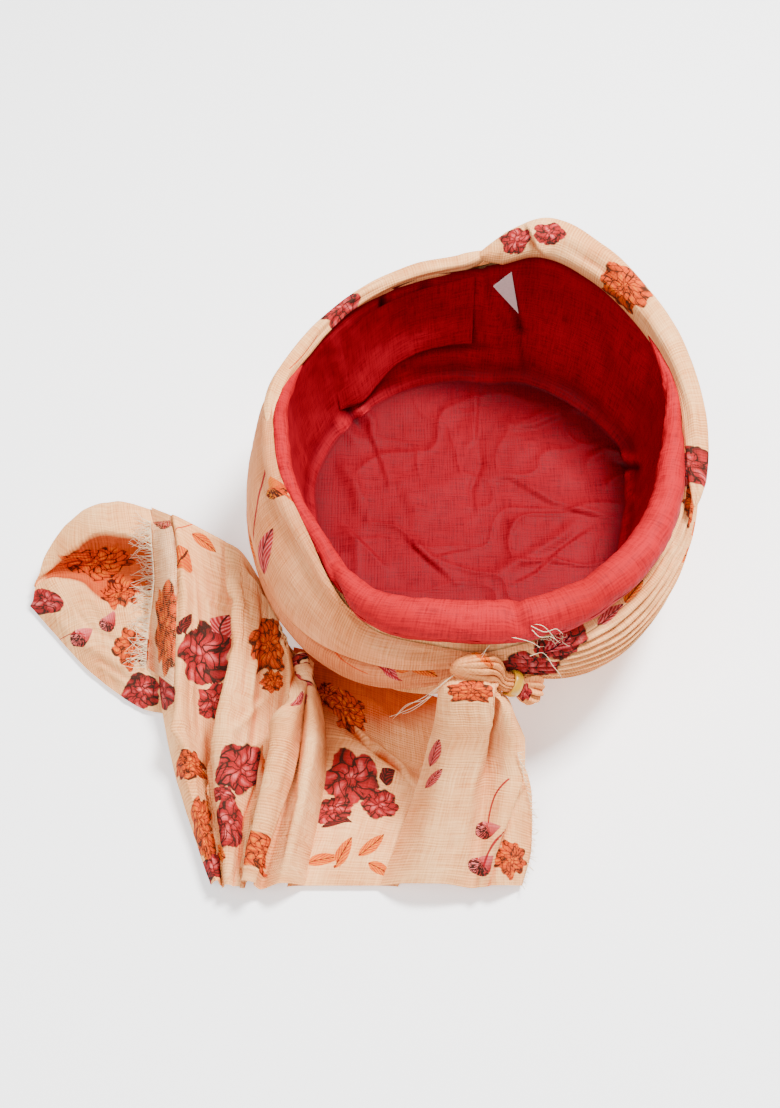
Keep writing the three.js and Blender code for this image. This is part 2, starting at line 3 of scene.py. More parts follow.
import bmesh
import bpy
import numpy as np
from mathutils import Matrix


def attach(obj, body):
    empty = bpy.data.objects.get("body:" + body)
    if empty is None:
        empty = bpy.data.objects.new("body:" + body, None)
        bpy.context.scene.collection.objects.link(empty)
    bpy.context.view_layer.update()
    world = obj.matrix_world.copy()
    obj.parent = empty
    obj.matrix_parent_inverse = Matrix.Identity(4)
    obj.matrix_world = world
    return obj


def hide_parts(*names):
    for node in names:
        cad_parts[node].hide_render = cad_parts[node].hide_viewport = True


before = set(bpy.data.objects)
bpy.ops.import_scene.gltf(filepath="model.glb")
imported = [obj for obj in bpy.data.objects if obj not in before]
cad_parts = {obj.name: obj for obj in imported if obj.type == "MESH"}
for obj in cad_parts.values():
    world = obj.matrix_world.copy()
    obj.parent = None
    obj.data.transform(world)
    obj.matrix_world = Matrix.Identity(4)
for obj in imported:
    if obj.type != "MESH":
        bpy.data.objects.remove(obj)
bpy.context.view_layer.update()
MM = 0.001

# Camera: its tilt is from straight down; the photograph's size and the focal length are in pixels
CAMERA_AT = np.array([-40.53, -397.35, 641.10])
CAMERA_TILT = math.radians(32.0)
LENS = 50.0
SENSOR = 36.0
PHOTO = (780, 1108)
FOCAL = PHOTO[1] * LENS / SENSOR
LOOK = np.array([0.0, math.sin(CAMERA_TILT), -math.cos(CAMERA_TILT)])
RIGHT = np.array([1.0, 0.0, 0.0])
UP = np.array([0.0, math.cos(CAMERA_TILT), math.sin(CAMERA_TILT)])


def make_camera():
    data = bpy.data.cameras.new("camera")
    data.lens = LENS
    data.sensor_width = SENSOR
    data.clip_end = 10
    camera = bpy.data.objects.new("camera", data)
    camera.location = [c * MM for c in CAMERA_AT]
    camera.rotation_euler = (CAMERA_TILT, 0, 0)
    bpy.context.scene.collection.objects.link(camera)
    bpy.context.scene.camera = camera


make_camera()


def seen_at(points):
    """Pixel places of points in the photograph's frame, and their distance from the camera."""
    away = points - CAMERA_AT
    depth = away @ LOOK
    x = PHOTO[0] / 2 + FOCAL * (away @ RIGHT) / depth
    y = PHOTO[1] / 2 - FOCAL * (away @ UP) / depth
    return np.stack([x, y], axis=-1), depth


def from_photo(line):
    """Points in space from rows of photo pixel x, pixel y and height above the table."""
    line = np.array(line, float)
    across = (line[:, :1] - PHOTO[0] / 2) / FOCAL
    down = (line[:, 1:2] - PHOTO[1] / 2) / FOCAL
    ray = LOOK + RIGHT * across - UP * down
    reach = (line[:, 2:] - CAMERA_AT[2]) / ray[:, 2:]
    return CAMERA_AT + ray * reach


def facing_camera(net, normal):
    """How squarely each point of a net faces the camera, from -1 to 1."""
    view = CAMERA_AT - net
    return (normal * view).sum(-1) / np.linalg.norm(view, axis=-1)


# Sizes of the turban
GAP = 0.4                 # clearance between laid pieces
LINING = 1.6              # thickness of the red lining
CROWN_FLAT = 58           # radius of the flattened crown
FLOOR_Z = 24              # height of the lining inside the crown
FLOOR_TAPER = 0.92        # radius of the bowl's foot as a share of its mouth
LINING_FACE_IN = 0.8      # how far the lining's face lies in from the rim's middle, in roll radii
BULGE_Z = 55              # height where the cap is widest
WRAP_CLEAR = 1.8 * GAP    # how far the flat wraps float over the cap
FOOT_IN = 3.6             # rounding between the bowl's wall and its floor
FLOOR_SAG = 0.8           # how far the loose lining lies below its height at the crown
BOWL_ROUND = 95           # mean radius of the bowl, for the map of its wall
WALL_ROWS = 44
FLOOR_RINGS = 89
MOTIF_STEP = 54.0         # spacing of the print on the cloth that the photograph doesn't show

# Rolls along the rim, by azimuth: radius and height of the middle, and radius of the roll
FRONT_RIM = [(30, 102.5, 95.5, 6.5), (45, 107, 101, 7.4), (60, 110.5, 107, 8.6), (75, 112, 109.5, 9),
             (84, 107.5, 103, 7.2)]
RIM = [(-45, 82.8, 86, 8.2), (-20, 82.8, 86.5, 7), (0, 84, 87.5, 5.6), (10, 87, 88.5, 4.2),
       (20, 92.4, 91, 3.4), *FRONT_RIM, (92, 106.5, 96.5, 4.6), (105, 106.5, 93, 4),
       (125, 103.5, 91, 3.5), (145, 99.5, 90, 3.5), (160, 95.5, 89.5, 3.6), (175, 89.5, 90, 4),
       (190, 87, 90, 4), (212, 84.5, 89.5, 3.8), (226, 87.5, 88.5, 5), (237, 90.5, 87, 7),
       (247, 88, 86, 9), (258, 85, 86, 9), (290, 84, 86, 9)]
FRONT_ROLL = [(-14, 95.5, 83.5, 3), (-5, 95, 86.5, 4), (5, 95.6, 89, 5), (15, 98, 91.5, 5.4),
              *FRONT_RIM, (90, 106, 99.5, 5)]
# Greatest radius of the cap, by azimuth
CAP_BULGE = [(-30, 90), (0, 94.5), (20, 98), (40, 107.5), (60, 113), (75, 115), (90, 111), (110, 108),
             (130, 104), (150, 103.2), (190, 103), (225, 102.5), (245, 97), (262, 91.5), (280, 91),
             (305, 92)]
# Height on the cap's side and its share of the bulge
CAP_SIDE = [(4, 0.67), (11, 0.79), (20, 0.88), (31, 0.95), (43, 0.985)]
# Flat wraps by azimuth: low edge, high edge and how far the middle stands out
LEFT_BAND = [(142.5, 67, 85, 2), (165, 62, 92, 4.4), (185, 57, 93, 5), (205, 53, 92.5, 5.2),
             (225, 53, 88, 5.6), (240, 56, 77, 5.6), (255, 61, 74.5, 4.6), (262.5, 63, 72, 3),
             (269, 65, 70, 2)]
LEFT_LOWER = [(142.5, 33, 64.5, 3), (180, 25, 57, 4), (205, 23, 52, 4.2), (225, 23, 52, 5.2),
              (240, 29, 55, 5.2), (255, 46, 59.5, 4.4), (262.5, 52, 61.5, 3), (269, 57, 62, 2)]
PLEAT_FAN = [(-90, 60, 71, 2), (-82.5, 54, 75, 3.2), (-70, 45, 77, 6), (-45, 32, 78, 6), (-15, 20, 79, 4.6),
             (15, 16, 83, 3.6), (45, 15, 91, 4), (75, 15, 97, 4), (100, 16, 87, 3.6), (130, 16, 85, 3.6),
             (150, 11, 88, 3.6), (190, 6, 69, 3.4), (225, 6, 68, 3.4), (243, 12, 72, 3.2),
             (262, 34, 92, 2.4)]
LOWEST_WRAP = [(az, low, low + (high - low) / 4, thick) for az, low, high, thick in PLEAT_FAN if az > 125]
# The hem flap on the bowl's far wall, by azimuth: low and high edge
HEM_FLAP = [(90, 47.5, 92), (97.5, 46.5, 88), (112.5, 42, 84), (127.5, 30, 80), (135, 34, 70)]
# Knot: half its length, half its width and depth, its neck, how far the belly leans in and ends
KNOT_AT = np.array([0, -98.6, 66.5])
KNOT_SLOPE = math.radians(31)
KNOT = dict(half=17.5, wide=10.5, deep=5.8, neck=3.9, bow=1.9, belly_end=0.78)
RUBBER = dict(at=13.3, wide=4.6, ring=5.15, thin=0.8, flat=2.7)
TUFT_FROM = 15.9
TUFT_SIDE = [(0, 0), (3.4, 0.3), (5.4, 3.0), (6.4, 6.6), (5.0, 10.0), (2.2, 9.6), (0, 7.4)]
# Fold lines of the tail, each from the turban's side down to the near edge
FAN_FOLDS = [
    [(-155, 13, 30), (-151, -32, 18), (-143, -95, 4), (-118, -167, 3)],
    [(-142, 2, 35), (-139, -41, 33), (-136, -98, 20), (-115, -168, 11)],
    [(-130, -2, 31), (-127, -45, 23), (-127, -99, 10), (-113.4, -169, 5)],
    [(-119, -9, 32), (-115, -50, 24), (-119, -104, 9), (-112, -169, 5)],
    [(-111, -17, 36), (-109, -53, 35), (-113, -108, 22), (-109.6, -170, 12)],
    [(-101, -31, 32), (-99, -57, 31), (-102, -112, 15), (-106, -170, 8)],
    [(-94, -41, 26), (-89, -68, 26), (-95, -112, 11), (-103.4, -170, 6)],
    [(-92, -50, 27), (-85, -78, 37), (-88, -111, 30), (-100.6, -170, 16)],
    [(-89, -56, 23), (-80, -80, 25), (-82, -110, 16), (-96, -170, 6)],
    [(-84.8, -61.2, 22), (-76, -86, 32), (-76, -118, 27), (-87, -170, 14)],
    [(-78.4, -62, 6), (-70, -90, 4), (-69.5, -118, 4), (-77.5, -167, 3)],
]
NEAR_FOLDS = [
    [(-21, -103, 64), (-24, -116.5, 33), (-34, -140, 11), (-45, -167, 2.6)],
    [(-13, -105.4, 69.5), (-14, -122.5, 46), (-22, -146, 25), (-33, -169, 11)],
    [(-3, -105, 69), (-4, -122.5, 44), (-9, -147, 26), (-17, -170, 13)],
    [(3, -104.6, 64), (1.5, -118, 37), (-1, -143, 20), (-5, -170, 8)],
    [(9, -105.8, 63.5), (10, -121, 40), (8, -145, 24), (4, -170, 11)],
    [(15, -103.8, 54.5), (17.5, -116, 27), (18.5, -142, 7), (16, -167, 2.6)],
]
# Back of the tail's end, from the fan to the tip
END_BACK = [
    [(-155.3, 21, 2), (-172, 23, 2), (-188, 18, 2), (-202, 4, 2), (-210, -16, 2)],
    [(-155.3, 11, 27), (-172, 13, 31), (-188, 10, 28), (-202, -3, 20), (-211, -20, 8)],
]
# Broad sheet: its height, the step across it (two ends, height and width), and its back and near edges
SHEET_Z = 2.6
SHEET_STEP = ((-72, -81), (-27, -131), 5, 9)
SHEET_BACK = [(-86, -50), (-64, -56), (-45, -64), (-30, -72), (-17, -77)]
SHEET_NEAR = -167
UNDER = 9                 # how far the sheet reaches under the panels beside it


# Shapes by formula
def mix(a, b, t):
    return a + (b - a) * t


def smooth(low, high, value):
    t = np.clip((np.asarray(value, float) - low) / (high - low), 0, 1)
    return t * t * (3 - 2 * t)


def shares(rows, columns):
    """Shares down and across a net, as a column and a row."""
    return np.linspace(0, 1, rows)[:, None], np.linspace(0, 1, columns)[None, :]


def table(rows, turns=False):
    """Smooth curve through a table's rows: from azimuths to the other columns."""
    data = np.array(rows, float)
    first = data[0, 0]
    if turns:
        shift = np.zeros(data.shape[1])
        shift[0] = 360
        data = np.vstack([data[-3:] - shift, data, data[:3] + shift])
    az = data[:, 0]
    values = data[:, 1:]
    slopes = np.gradient(values, az, axis=0)

    def at(angle):
        angle = np.asarray(angle, float)
        if turns:
            angle = first + np.mod(angle - first, 360)
        angle = np.clip(angle, az[0], az[-1])
        i = np.clip(np.searchsorted(az, angle, side="right") - 1, 0, len(az) - 2)
        span = az[i + 1] - az[i]
        t = ((angle - az[i]) / span)[..., None]
        start = slopes[i] * span[..., None]
        end = slopes[i + 1] * span[..., None]
        curve = values[i] * (2 * t**3 - 3 * t**2 + 1) + start * (t**3 - 2 * t**2 + t)
        curve = curve + values[i + 1] * (3 * t**2 - 2 * t**3) + end * (t**3 - t**2)
        return np.moveaxis(curve, -1, 0)

    return at


RED_ROLL = [(147, 95.4, 87.8, 1.5), (155, 94.2, 89, 2.6), (163, 93.2, 89.6, 3.4),
            *[row for row in RIM if 170 < row[0]],
            *[(row[0] + 360, *row[1:]) for row in RIM if row[0] < 20],
            (380, 91.9, 91, 3.5), (389, 95.4, 93.6, 2.7), (399, 98.6, 97.5, 1.8)]
EDGE_ROLL = [*[row for row in RIM if 80 < row[0] < 150], (160, 98.4, 90.6, 3.2), (173, 95, 91.8, 2.4)]
rim_at = table(RIM, True)
red_roll_at = table(RED_ROLL)
edge_roll_at = table(EDGE_ROLL)
bulge_at = table(CAP_BULGE, True)
front_roll_at = table(FRONT_ROLL)


def roll_depth(roll, out):
    return np.sqrt(np.maximum(roll * roll - out * out, 0))


def lining_top(az):
    _, z, roll = rim_at(az)
    return z - roll_depth(roll, LINING_FACE_IN * roll - LINING) - GAP


def lining_face(az, z):
    r, _, roll = rim_at(az)
    mouth = r - LINING_FACE_IN * roll
    rise = np.clip((z - FLOOR_Z) / (lining_top(az) - FLOOR_Z), 0, 1)
    return mouth * mix(FLOOR_TAPER, 1, np.sin(rise * np.pi / 2))


def spline(points, where):
    """Centripetal Catmull-Rom curve through points, at shares of its length in points."""
    p = np.asarray(points, float)
    p = np.vstack([2 * p[0] - p[1], p, 2 * p[-1] - p[-2]])
    scaled = np.clip(np.asarray(where, float), 0, 1) * (len(p) - 3)
    i = np.minimum(scaled.astype(int), len(p) - 4)
    t = (scaled - i)[:, None]
    a, b, c, d = (p[i + k] for k in range(4))
    pairs = ((a, b), (b, c), (c, d))
    step = [np.linalg.norm(v - u, axis=1, keepdims=True) ** 0.5 + 1e-6 for u, v in pairs]
    start = ((b - a) / step[0] - (c - a) / (step[0] + step[1]) + (c - b) / step[1]) * step[1]
    end = ((c - b) / step[1] - (d - b) / (step[1] + step[2]) + (d - c) / step[2]) * step[1]
    curve = b * (2 * t**3 - 3 * t**2 + 1) + start * (t**3 - 2 * t**2 + t)
    return curve + c * (3 * t**2 - 2 * t**3) + end * (t**3 - t**2)


def cap_profile(az):
    """Radius and height of the wound cap's outer side at one azimuth, from the crown up."""
    az = (az + 90) % 360 - 90
    r, z, roll = rim_at(az)
    bulge = bulge_at(az)[0]
    lowest = z - roll
    if -15 < az < 91:
        front = front_roll_at(az)
        lowest = min(lowest, front[1] - front[2])
    top = lowest - GAP
    side = [(CROWN_FLAT, 0)] + [(bulge * share, height) for height, share in CAP_SIDE]
    for rise in (0, 0.35, 0.7, 1):
        side.append((mix(bulge, r + 2 + 0.4 * roll, rise**1.6), mix(BULGE_Z, top, rise)))
    return spline(side, np.linspace(0, 1, 73))


def core_radius(az, z):
    """Outermost radius of the cap and its red roll, for a row of heights at each azimuth."""
    out = np.empty(z.shape)
    for i, angle in enumerate(az):
        side = cap_profile(angle)
        r, rim_z, roll = rim_at(angle)
        top_r, top_z = side[-1]
        lower = np.interp(z[i], side[:, 1], side[:, 0])
        upper = r + roll_depth(roll + 2 * GAP, z[i] - rim_z)
        upper = np.maximum(upper, mix(top_r, r, np.clip((z[i] - top_z) / (2 * roll), 0, 1)))
        out[i] = np.where(z[i] >= top_z, upper, lower)
    return out


def polar(az, r, z):
    angle = np.radians(az)
    return np.stack([r * np.cos(angle), r * np.sin(angle), z + 0 * r], axis=-1)


def hashed(i, j, seed):
    """A number from -1 to 1 for a pair of whole numbers, the same in every run."""
    n = (i * 374761393 + j * 668265263 + seed * 974634777) & 0xFFFFFFFF
    n = ((n ^ (n >> 13)) * 1274126177) & 0xFFFFFFFF
    return ((n ^ (n >> 16)) & 0xFFFF) / 32767.5 - 1


def chances(k, seed):
    return [float(hashed(np.array(k), np.array(i), seed)) for i in range(5)]


def ripple(x, y, seed, layers=3):
    """Smooth noise from -1 to 1 over two directions."""
    x, y = np.broadcast_arrays(np.asarray(x, float), np.asarray(y, float))
    total = np.zeros(x.shape)
    for layer in range(layers):
        scale = 2**layer
        u = x * scale + 17.3 * layer
        v = y * scale + 5.1 * layer
        i = np.floor(u).astype(np.int64)
        j = np.floor(v).astype(np.int64)
        s = smooth(0, 1, u - i)
        t = smooth(0, 1, v - j)
        a, b, c, d = (hashed(i + right, j + up, seed + 31 * layer) for up in (0, 1) for right in (0, 1))
        total += mix(mix(a, b, s), mix(c, d, s), t) / scale
    return total / (2 - 0.5 ** (layers - 1))


def beside(pixels, line):
    """Distance from a pixel polyline, the side (1 is left of a line that runs down) and share along it."""
    line = np.array(line, float)
    lengths = np.linalg.norm(np.diff(line, axis=0), axis=1)
    done = np.concatenate([[0], np.cumsum(lengths)]) / lengths.sum()
    away = np.full(pixels.shape[:-1], 1e9)
    side = np.zeros(away.shape)
    share = np.zeros(away.shape)
    for k, length in enumerate(lengths):
        step = (line[k + 1] - line[k]) / length
        off = pixels - line[k]
        along = np.clip(off @ step, 0, length)
        miss = np.linalg.norm(off - along[..., None] * step, axis=-1)
        closer = miss < away
        away = np.where(closer, miss, away)
        side = np.where(closer, np.sign(step[0] * off[..., 1] - step[1] * off[..., 0]), side)
        share = np.where(closer, mix(done[k], done[k + 1], along / length), share)
    return away, side, share


def traced(net, lines, soft=1.6):
    """Folds along lines traced in the photograph. A lap is raised on one side and drops at the line."""
    pixels, _ = seen_at(net)
    normal = net_normals(net)
    facing = facing_camera(net, normal)
    height = np.zeros(net.shape[:2])
    for kind, high, wide, line in lines:
        away, side, share = beside(pixels, line)
        fade = smooth(0, 0.3, share) * smooth(1, 0.62, share)
        if kind == "ridge":
            rise = np.exp(-((away / wide) ** 2))
        else:
            onto = away * side * (1 if kind == "lap left" else -1)
            upper = np.exp(-np.maximum(onto, 0) / wide)
            lower = 0.3 * np.exp(-np.maximum(-onto, 0) / (0.5 * wide))
            rise = mix(-lower, upper, smooth(-soft, soft, onto))
        uneven = 1 + 0.35 * ripple(share * 4, wide, len(line))
        height += high * fade * rise * uneven
    height = height * smooth(0.02, 0.25, facing)
    return net + normal * height[..., None]


# Nodes of a material, written as sums
class Value:
    """A socket that takes part in Python sums."""

    def __init__(self, paint, socket):
        self.paint = paint
        self.socket = socket

    def __add__(self, other):
        return self.paint.math("ADD", self, other)

    def __radd__(self, other):
        return self.paint.math("ADD", other, self)

    def __sub__(self, other):
        return self.paint.math("SUBTRACT", self, other)

    def __rsub__(self, other):
        return self.paint.math("SUBTRACT", other, self)

    def __mul__(self, other):
        return self.paint.math("MULTIPLY", self, other)

    def __rmul__(self, other):
        return self.paint.math("MULTIPLY", other, self)

    def __truediv__(self, other):
        return self.paint.math("DIVIDE", self, other)

    def __rtruediv__(self, other):
        return self.paint.math("DIVIDE", other, self)

    def __pow__(self, other):
        return self.paint.math("POWER", self, other)

    def __lt__(self, other):
        return self.paint.math("LESS_THAN", self, other)

    def __gt__(self, other):
        return self.paint.math("GREATER_THAN", self, other)


class Paint:
    """One material under construction."""

    def __init__(self, name):
        self.material = bpy.data.materials.new(name)
        self.material.use_nodes = True
        self.tree = self.material.node_tree
        self.surface = self.tree.nodes["Principled BSDF"]

    @classmethod
    def of(cls, material):
        """Go on with a material that is already made."""
        paint = cls.__new__(cls)
        paint.material = material
        paint.tree = material.node_tree
        paint.surface = paint.tree.nodes["Principled BSDF"]
        return paint

    def node(self, kind, settings, sockets, output=0):
        node = self.tree.nodes.new(kind)
        for name, value in settings.items():
            setattr(node, name, value)
        for name, value in sockets.items():
            self.feed(node.inputs[name], value)
        return Value(self, node.outputs[output])

    def feed(self, socket, value):
        if isinstance(value, Value):
            self.tree.links.new(value.socket, socket)
        else:
            socket.default_value = value

    def set(self, **sockets):
        for name, value in sockets.items():
            self.feed(self.surface.inputs[name.replace("_", " ")], value)

    def math(self, operation, *values, clamp=False):
        settings = {"operation": operation, "use_clamp": clamp}
        return self.node("ShaderNodeMath", settings, dict(enumerate(values)))

    def sin(self, value):
        return self.math("SINE", value)

    def abs(self, value):
        return self.math("ABSOLUTE", value)

    def floor(self, value):
        return self.math("FLOOR", value)

    def same(self, value, other):
        return self.math("COMPARE", value, other, 0.1)

    def clamped(self, value):
        return self.math("ADD", value, 0.0, clamp=True)

    def blend(self, factor, a, b, how="MIX"):
        settings = {"data_type": "RGBA", "blend_type": how}
        return self.node("ShaderNodeMix", settings, {0: factor, 6: a, 7: b}, 2)

    def split(self, vector):
        node = self.tree.nodes.new("ShaderNodeSeparateXYZ")
        self.feed(node.inputs[0], vector)
        return [Value(self, output) for output in node.outputs]

    def threads(self, u, v, fine, long, detail):
        """Slubs of the weave: noise drawn out along each of the cloth's two directions."""
        warp = self.noise(self.joined(u * fine, v * long), 1.0, detail, flat=True)
        weft = self.noise(self.joined(u * long, v * fine), 1.0, detail, flat=True)
        return warp, warp + weft - 1.0

    def joined(self, x, y, z=0.0):
        return self.node("ShaderNodeCombineXYZ", {}, {0: x, 1: y, 2: z})

    def uv(self, name):
        return self.node("ShaderNodeUVMap", {"uv_map": name}, {})

    def place(self):
        return self.node("ShaderNodeTexCoord", {}, {}, "Object")

    def attribute(self, name):
        return self.node("ShaderNodeAttribute", {"attribute_name": name}, {}, "Fac")

    def noise(self, vector, scale, detail=2.0, flat=False):
        settings = {"noise_dimensions": "2D" if flat else "3D"}
        sockets = {"Vector": vector, "Scale": scale, "Detail": detail, "Roughness": 0.5}
        return self.node("ShaderNodeTexNoise", settings, sockets)

    def cells(self, vector, scale, feature):
        settings = {"feature": feature, "voronoi_dimensions": "3D"}
        return self.node("ShaderNodeTexVoronoi", settings, {"Vector": vector, "Scale": scale}, "Distance")

    def bump(self, height, strength, distance):
        sockets = {"Height": height, "Strength": strength, "Distance": distance}
        return self.node("ShaderNodeBump", {}, sockets)


def color(red, green, blue):
    """A colour named by its 8-bit screen values, as the linear values that nodes take."""
    screen = [c / 255 for c in (red, green, blue)]
    linear = [c / 12.92 if c <= 10 / 255 else ((c + 0.055) / 1.055) ** 2.4 for c in screen]
    return (*linear, 1.0)


# The floral print. A face-corner UV map says which motif a face carries and where in it the corner
# lies: the motif's kind picks a column of cells and its variant a row, and a cell spans CELL units.
CELL = 4.0
KINDS = {"none": 0, "rose": 1, "marigold": 2, "red leaf": 3, "orange leaf": 4, "red bud": 5,
         "orange bud": 6, "red stem": 7, "orange stem": 8}
FLOWER, LEAF, BUD, STEM = 1.0, 2.0, 3.0, 4.0
# Outline, petal and highlight of the print
RED_INKS = (color(34, 4, 14), color(160, 12, 34), color(238, 126, 128))
ORANGE_INKS = (color(62, 14, 6), color(206, 66, 0), color(246, 148, 26))


def flower(paint, x, y, radius, variant, orange, ruffle, hatch):
    """A full flower head: where it lies, and the tone of its petals, rifts and pen strokes."""
    turn = paint.math("ARCTAN2", y, x)
    petals = radius + ruffle * 0.42
    edge = 0.8 + 0.16 * paint.abs(paint.sin(turn * 2.5 + variant)) - 0.08 * orange * paint.sin(turn * 9)
    spread = radius ** -0.42 * (1.75 + 0.9 * orange)
    swirl = 0.5 * ruffle + 0.35 * paint.sin(radius * 7 + variant)
    cells = paint.joined((x + swirl * 0.5 * y) * spread, (y - swirl * 0.5 * x) * spread,
                         variant * 2.3 + orange)
    middle = paint.cells(cells, 1.35, "F1")
    rift = paint.cells(cells, 1.35, "DISTANCE_TO_EDGE")
    tone = 0.98 - middle * 0.85 + 0.5 * ruffle - 0.25 * radius
    tone = tone - 1.1 * paint.clamped((0.05 - rift) * 26)
    tone = tone - 1.2 * paint.clamped((hatch - 0.56) * 6) * paint.clamped(middle * 1.6 - 0.35)
    return paint.clamped((edge - petals) * 18), tone


def printed(paint, layer, cloth):
    """The cloth's colour with one layer of motifs on it."""
    across, up, _ = paint.split(paint.uv(layer))
    kind = paint.floor(across / CELL + 0.5)
    variant = paint.floor(up / CELL + 0.5)
    x = across - kind * CELL
    y = up - variant * CELL
    shape = paint.floor((kind + 1) / 2)
    orange = kind + 1 - 2 * shape
    radius = (x * x + y * y) ** 0.5 + 0.0001
    ruffle = paint.noise(paint.joined(x, y, variant * 3.7 + kind), 2.3, 2.0) - 0.5
    hatch = paint.noise(paint.joined(x / radius, y / radius, radius * 0.5 + variant), 6.5, 1.0)
    head, head_tone = flower(paint, x, y, radius, variant, orange, ruffle, hatch)

    # Leaf, bud and stem all follow one bent middle line.
    bend = (variant - 3) * 0.16
    lifted = y - bend * (1 - x * x)
    side = paint.abs(lifted)
    blade = 0.75 * paint.math("MAXIMUM", 1 - x * x, 0.0) ** 0.75 * (1.0 - 0.3 * x)
    leaf = paint.clamped((blade - side) * 16)
    ribs = paint.sin((x - side * 1.3) * 17)
    leaf_tone = 0.62 + 0.35 * ruffle - 0.25 * ribs - 0.8 * (side < 0.05) - 0.6 * (variant > 5.5)
    bud = paint.clamped((blade * 1.25 * (1.0 - 0.35 * x) - side) * 16)
    bud_tone = 0.75 + 0.3 * y - 0.9 * paint.clamped((0.1 - x) * 3) * (hatch > 0.45)
    stem = paint.clamped((0.045 - side) * 60) * (paint.abs(x) < 1.0)

    is_leaf = paint.same(shape, LEAF)
    is_bud = paint.same(shape, BUD)
    mask = head * paint.same(shape, FLOWER) + leaf * is_leaf
    mask = mask + bud * is_bud + stem * paint.same(shape, STEM)
    tone = head_tone * (shape < 1.5) + leaf_tone * is_leaf
    tone = tone + bud_tone * is_bud + 0.45 * (shape > 3.5)
    low = paint.clamped(tone * 2.6)
    high = paint.clamped(tone * 1.9 - 0.95)
    inks = [paint.blend(orange, red, other) for red, other in zip(RED_INKS, ORANGE_INKS)]
    ink = paint.blend(high, paint.blend(low, inks[0], inks[1]), inks[2])
    return paint.blend(mask * 0.97, cloth, ink)


# Printed muslin: threads run along both directions of the cloth's own map, in metres.
PEACH_LIT = color(252, 194, 134)
PEACH_MID = color(248, 172, 104)
# Painted shade: the colour the muslin takes in the hollows of its folds and in shaded places
PEACH_FOLD_SHADE = color(196, 84, 34)
PEACH_BETWEEN = color(214, 170, 132)
PEACH_RIB = color(196, 160, 128)
RIB_SPACING = 0.00125
SLUB = (1500, 60)


def muslin(name, lit=PEACH_LIT, middle=PEACH_MID, deep=PEACH_FOLD_SHADE):
    """Thin matt cloth with slubs, faint ribs and two layers of print."""
    paint = Paint(name)
    u, v, _ = paint.split(paint.uv("cloth"))
    warp, threads = paint.threads(u, v, *SLUB, 2.0)
    clouds = paint.noise(paint.joined(u * 30, v * 30), 1.0, 3.0, flat=True)
    cloth = paint.blend(paint.clamped(clouds * 1.6 - 0.4), lit, middle)
    # Painted shade: darker, more orange cloth where the fold attribute is high
    cloth = paint.blend(paint.clamped(paint.attribute("fold") * 1.6), cloth, deep)
    cloth = printed(paint, "bloom", cloth)
    cloth = printed(paint, "sprig", cloth)
    darker = paint.blend(paint.clamped(0.28 - threads * 1.1), cloth, PEACH_BETWEEN, "MULTIPLY")
    rib = paint.sin(u * (2 * math.pi / RIB_SPACING) + warp * 3) * 0.5 + 0.5
    patch = paint.clamped(clouds * 3 - 0.9)
    ribbed = paint.blend(rib * patch * 0.5, darker, PEACH_RIB, "MULTIPLY")
    grain = paint.sin(u * 5200) * 0.25 + paint.sin(v * 5200) * 0.25 + threads - rib * patch * 0.6
    paint.set(Base_Color=ribbed, Roughness=0.9, Specular_IOR_Level=0.12,
              Normal=paint.bump(grain, 0.4, 0.0004))
    paint.material.diffuse_color = lit
    return paint.material


def glazed_cotton(name, base, light, deep):
    """The lining: plain weave with a slight glaze."""
    paint = Paint(name)
    u, v, _ = paint.split(paint.uv("cloth"))
    _, threads = paint.threads(u, v, 1300, 90, 1.0)
    clouds = paint.noise(paint.joined(u * 22, v * 22), 1.0, 3.0, flat=True)
    cloth = paint.blend(paint.clamped(clouds * 1.5 - 0.35), base, light)
    # Painted shade: the lining darkens towards deep where the fold attribute is high
    cloth = paint.blend(paint.clamped(paint.attribute("fold") * 1.1), cloth, deep)
    cloth = paint.blend(paint.clamped(0.1 - threads * 0.9), cloth, deep)
    grain = paint.sin(u * 4600) * 0.15 + paint.sin(v * 4600) * 0.15 + threads
    paint.set(Base_Color=cloth, Roughness=0.6 + threads * 0.2, Specular_IOR_Level=0.06,
              Normal=paint.bump(grain, 0.3, 0.0004))
    paint.material.diffuse_color = base
    return paint.material


def plain(name, base, rough, **more):
    """One colour with faint mottling, for threads, rubber and tape."""
    paint = Paint(name)
    spots = paint.noise(paint.place(), 900.0, 3.0)
    shaded = paint.blend(spots, base, (*[c * 0.72 for c in base[:3]], 1.0))
    paint.set(Base_Color=shaded, Roughness=rough, Normal=paint.bump(spots, 0.2, 0.0003), **more)
    paint.material.diffuse_color = base
    return paint.material


def gauze(name):
    """Raw hem with its threads pulled apart, so that light comes through between them."""
    material = muslin(name, color(250, 206, 158), color(240, 176, 120))
    paint = Paint.of(material)
    u, v, _ = paint.split(paint.uv("cloth"))
    wander = paint.noise(paint.joined(u * 400, v * 400), 1.0, 2.0, flat=True) * 5
    open_u = paint.sin(u * 6600 + wander)
    open_v = paint.sin(v * 6600 + wander)
    paint.set(Alpha=paint.clamped(paint.math("MAXIMUM", open_u, open_v) * 2.4 + 0.75))
    return material


MUSLIN = muslin("printed muslin")
GAUZE = gauze("raw gauze")
COTTON = glazed_cotton("red lining cotton", color(140, 5, 22), color(162, 12, 32), color(62, 0, 6))
# Painted light: the roll's cotton is a lighter copy of the lining cotton, for the roll's lit top
LIT_ROLL_COTTON = glazed_cotton("lit red roll cotton", color(158, 7, 20), color(180, 20, 34), color(84, 2, 9))
THREAD = plain("bare thread", color(255, 226, 184), 0.9)
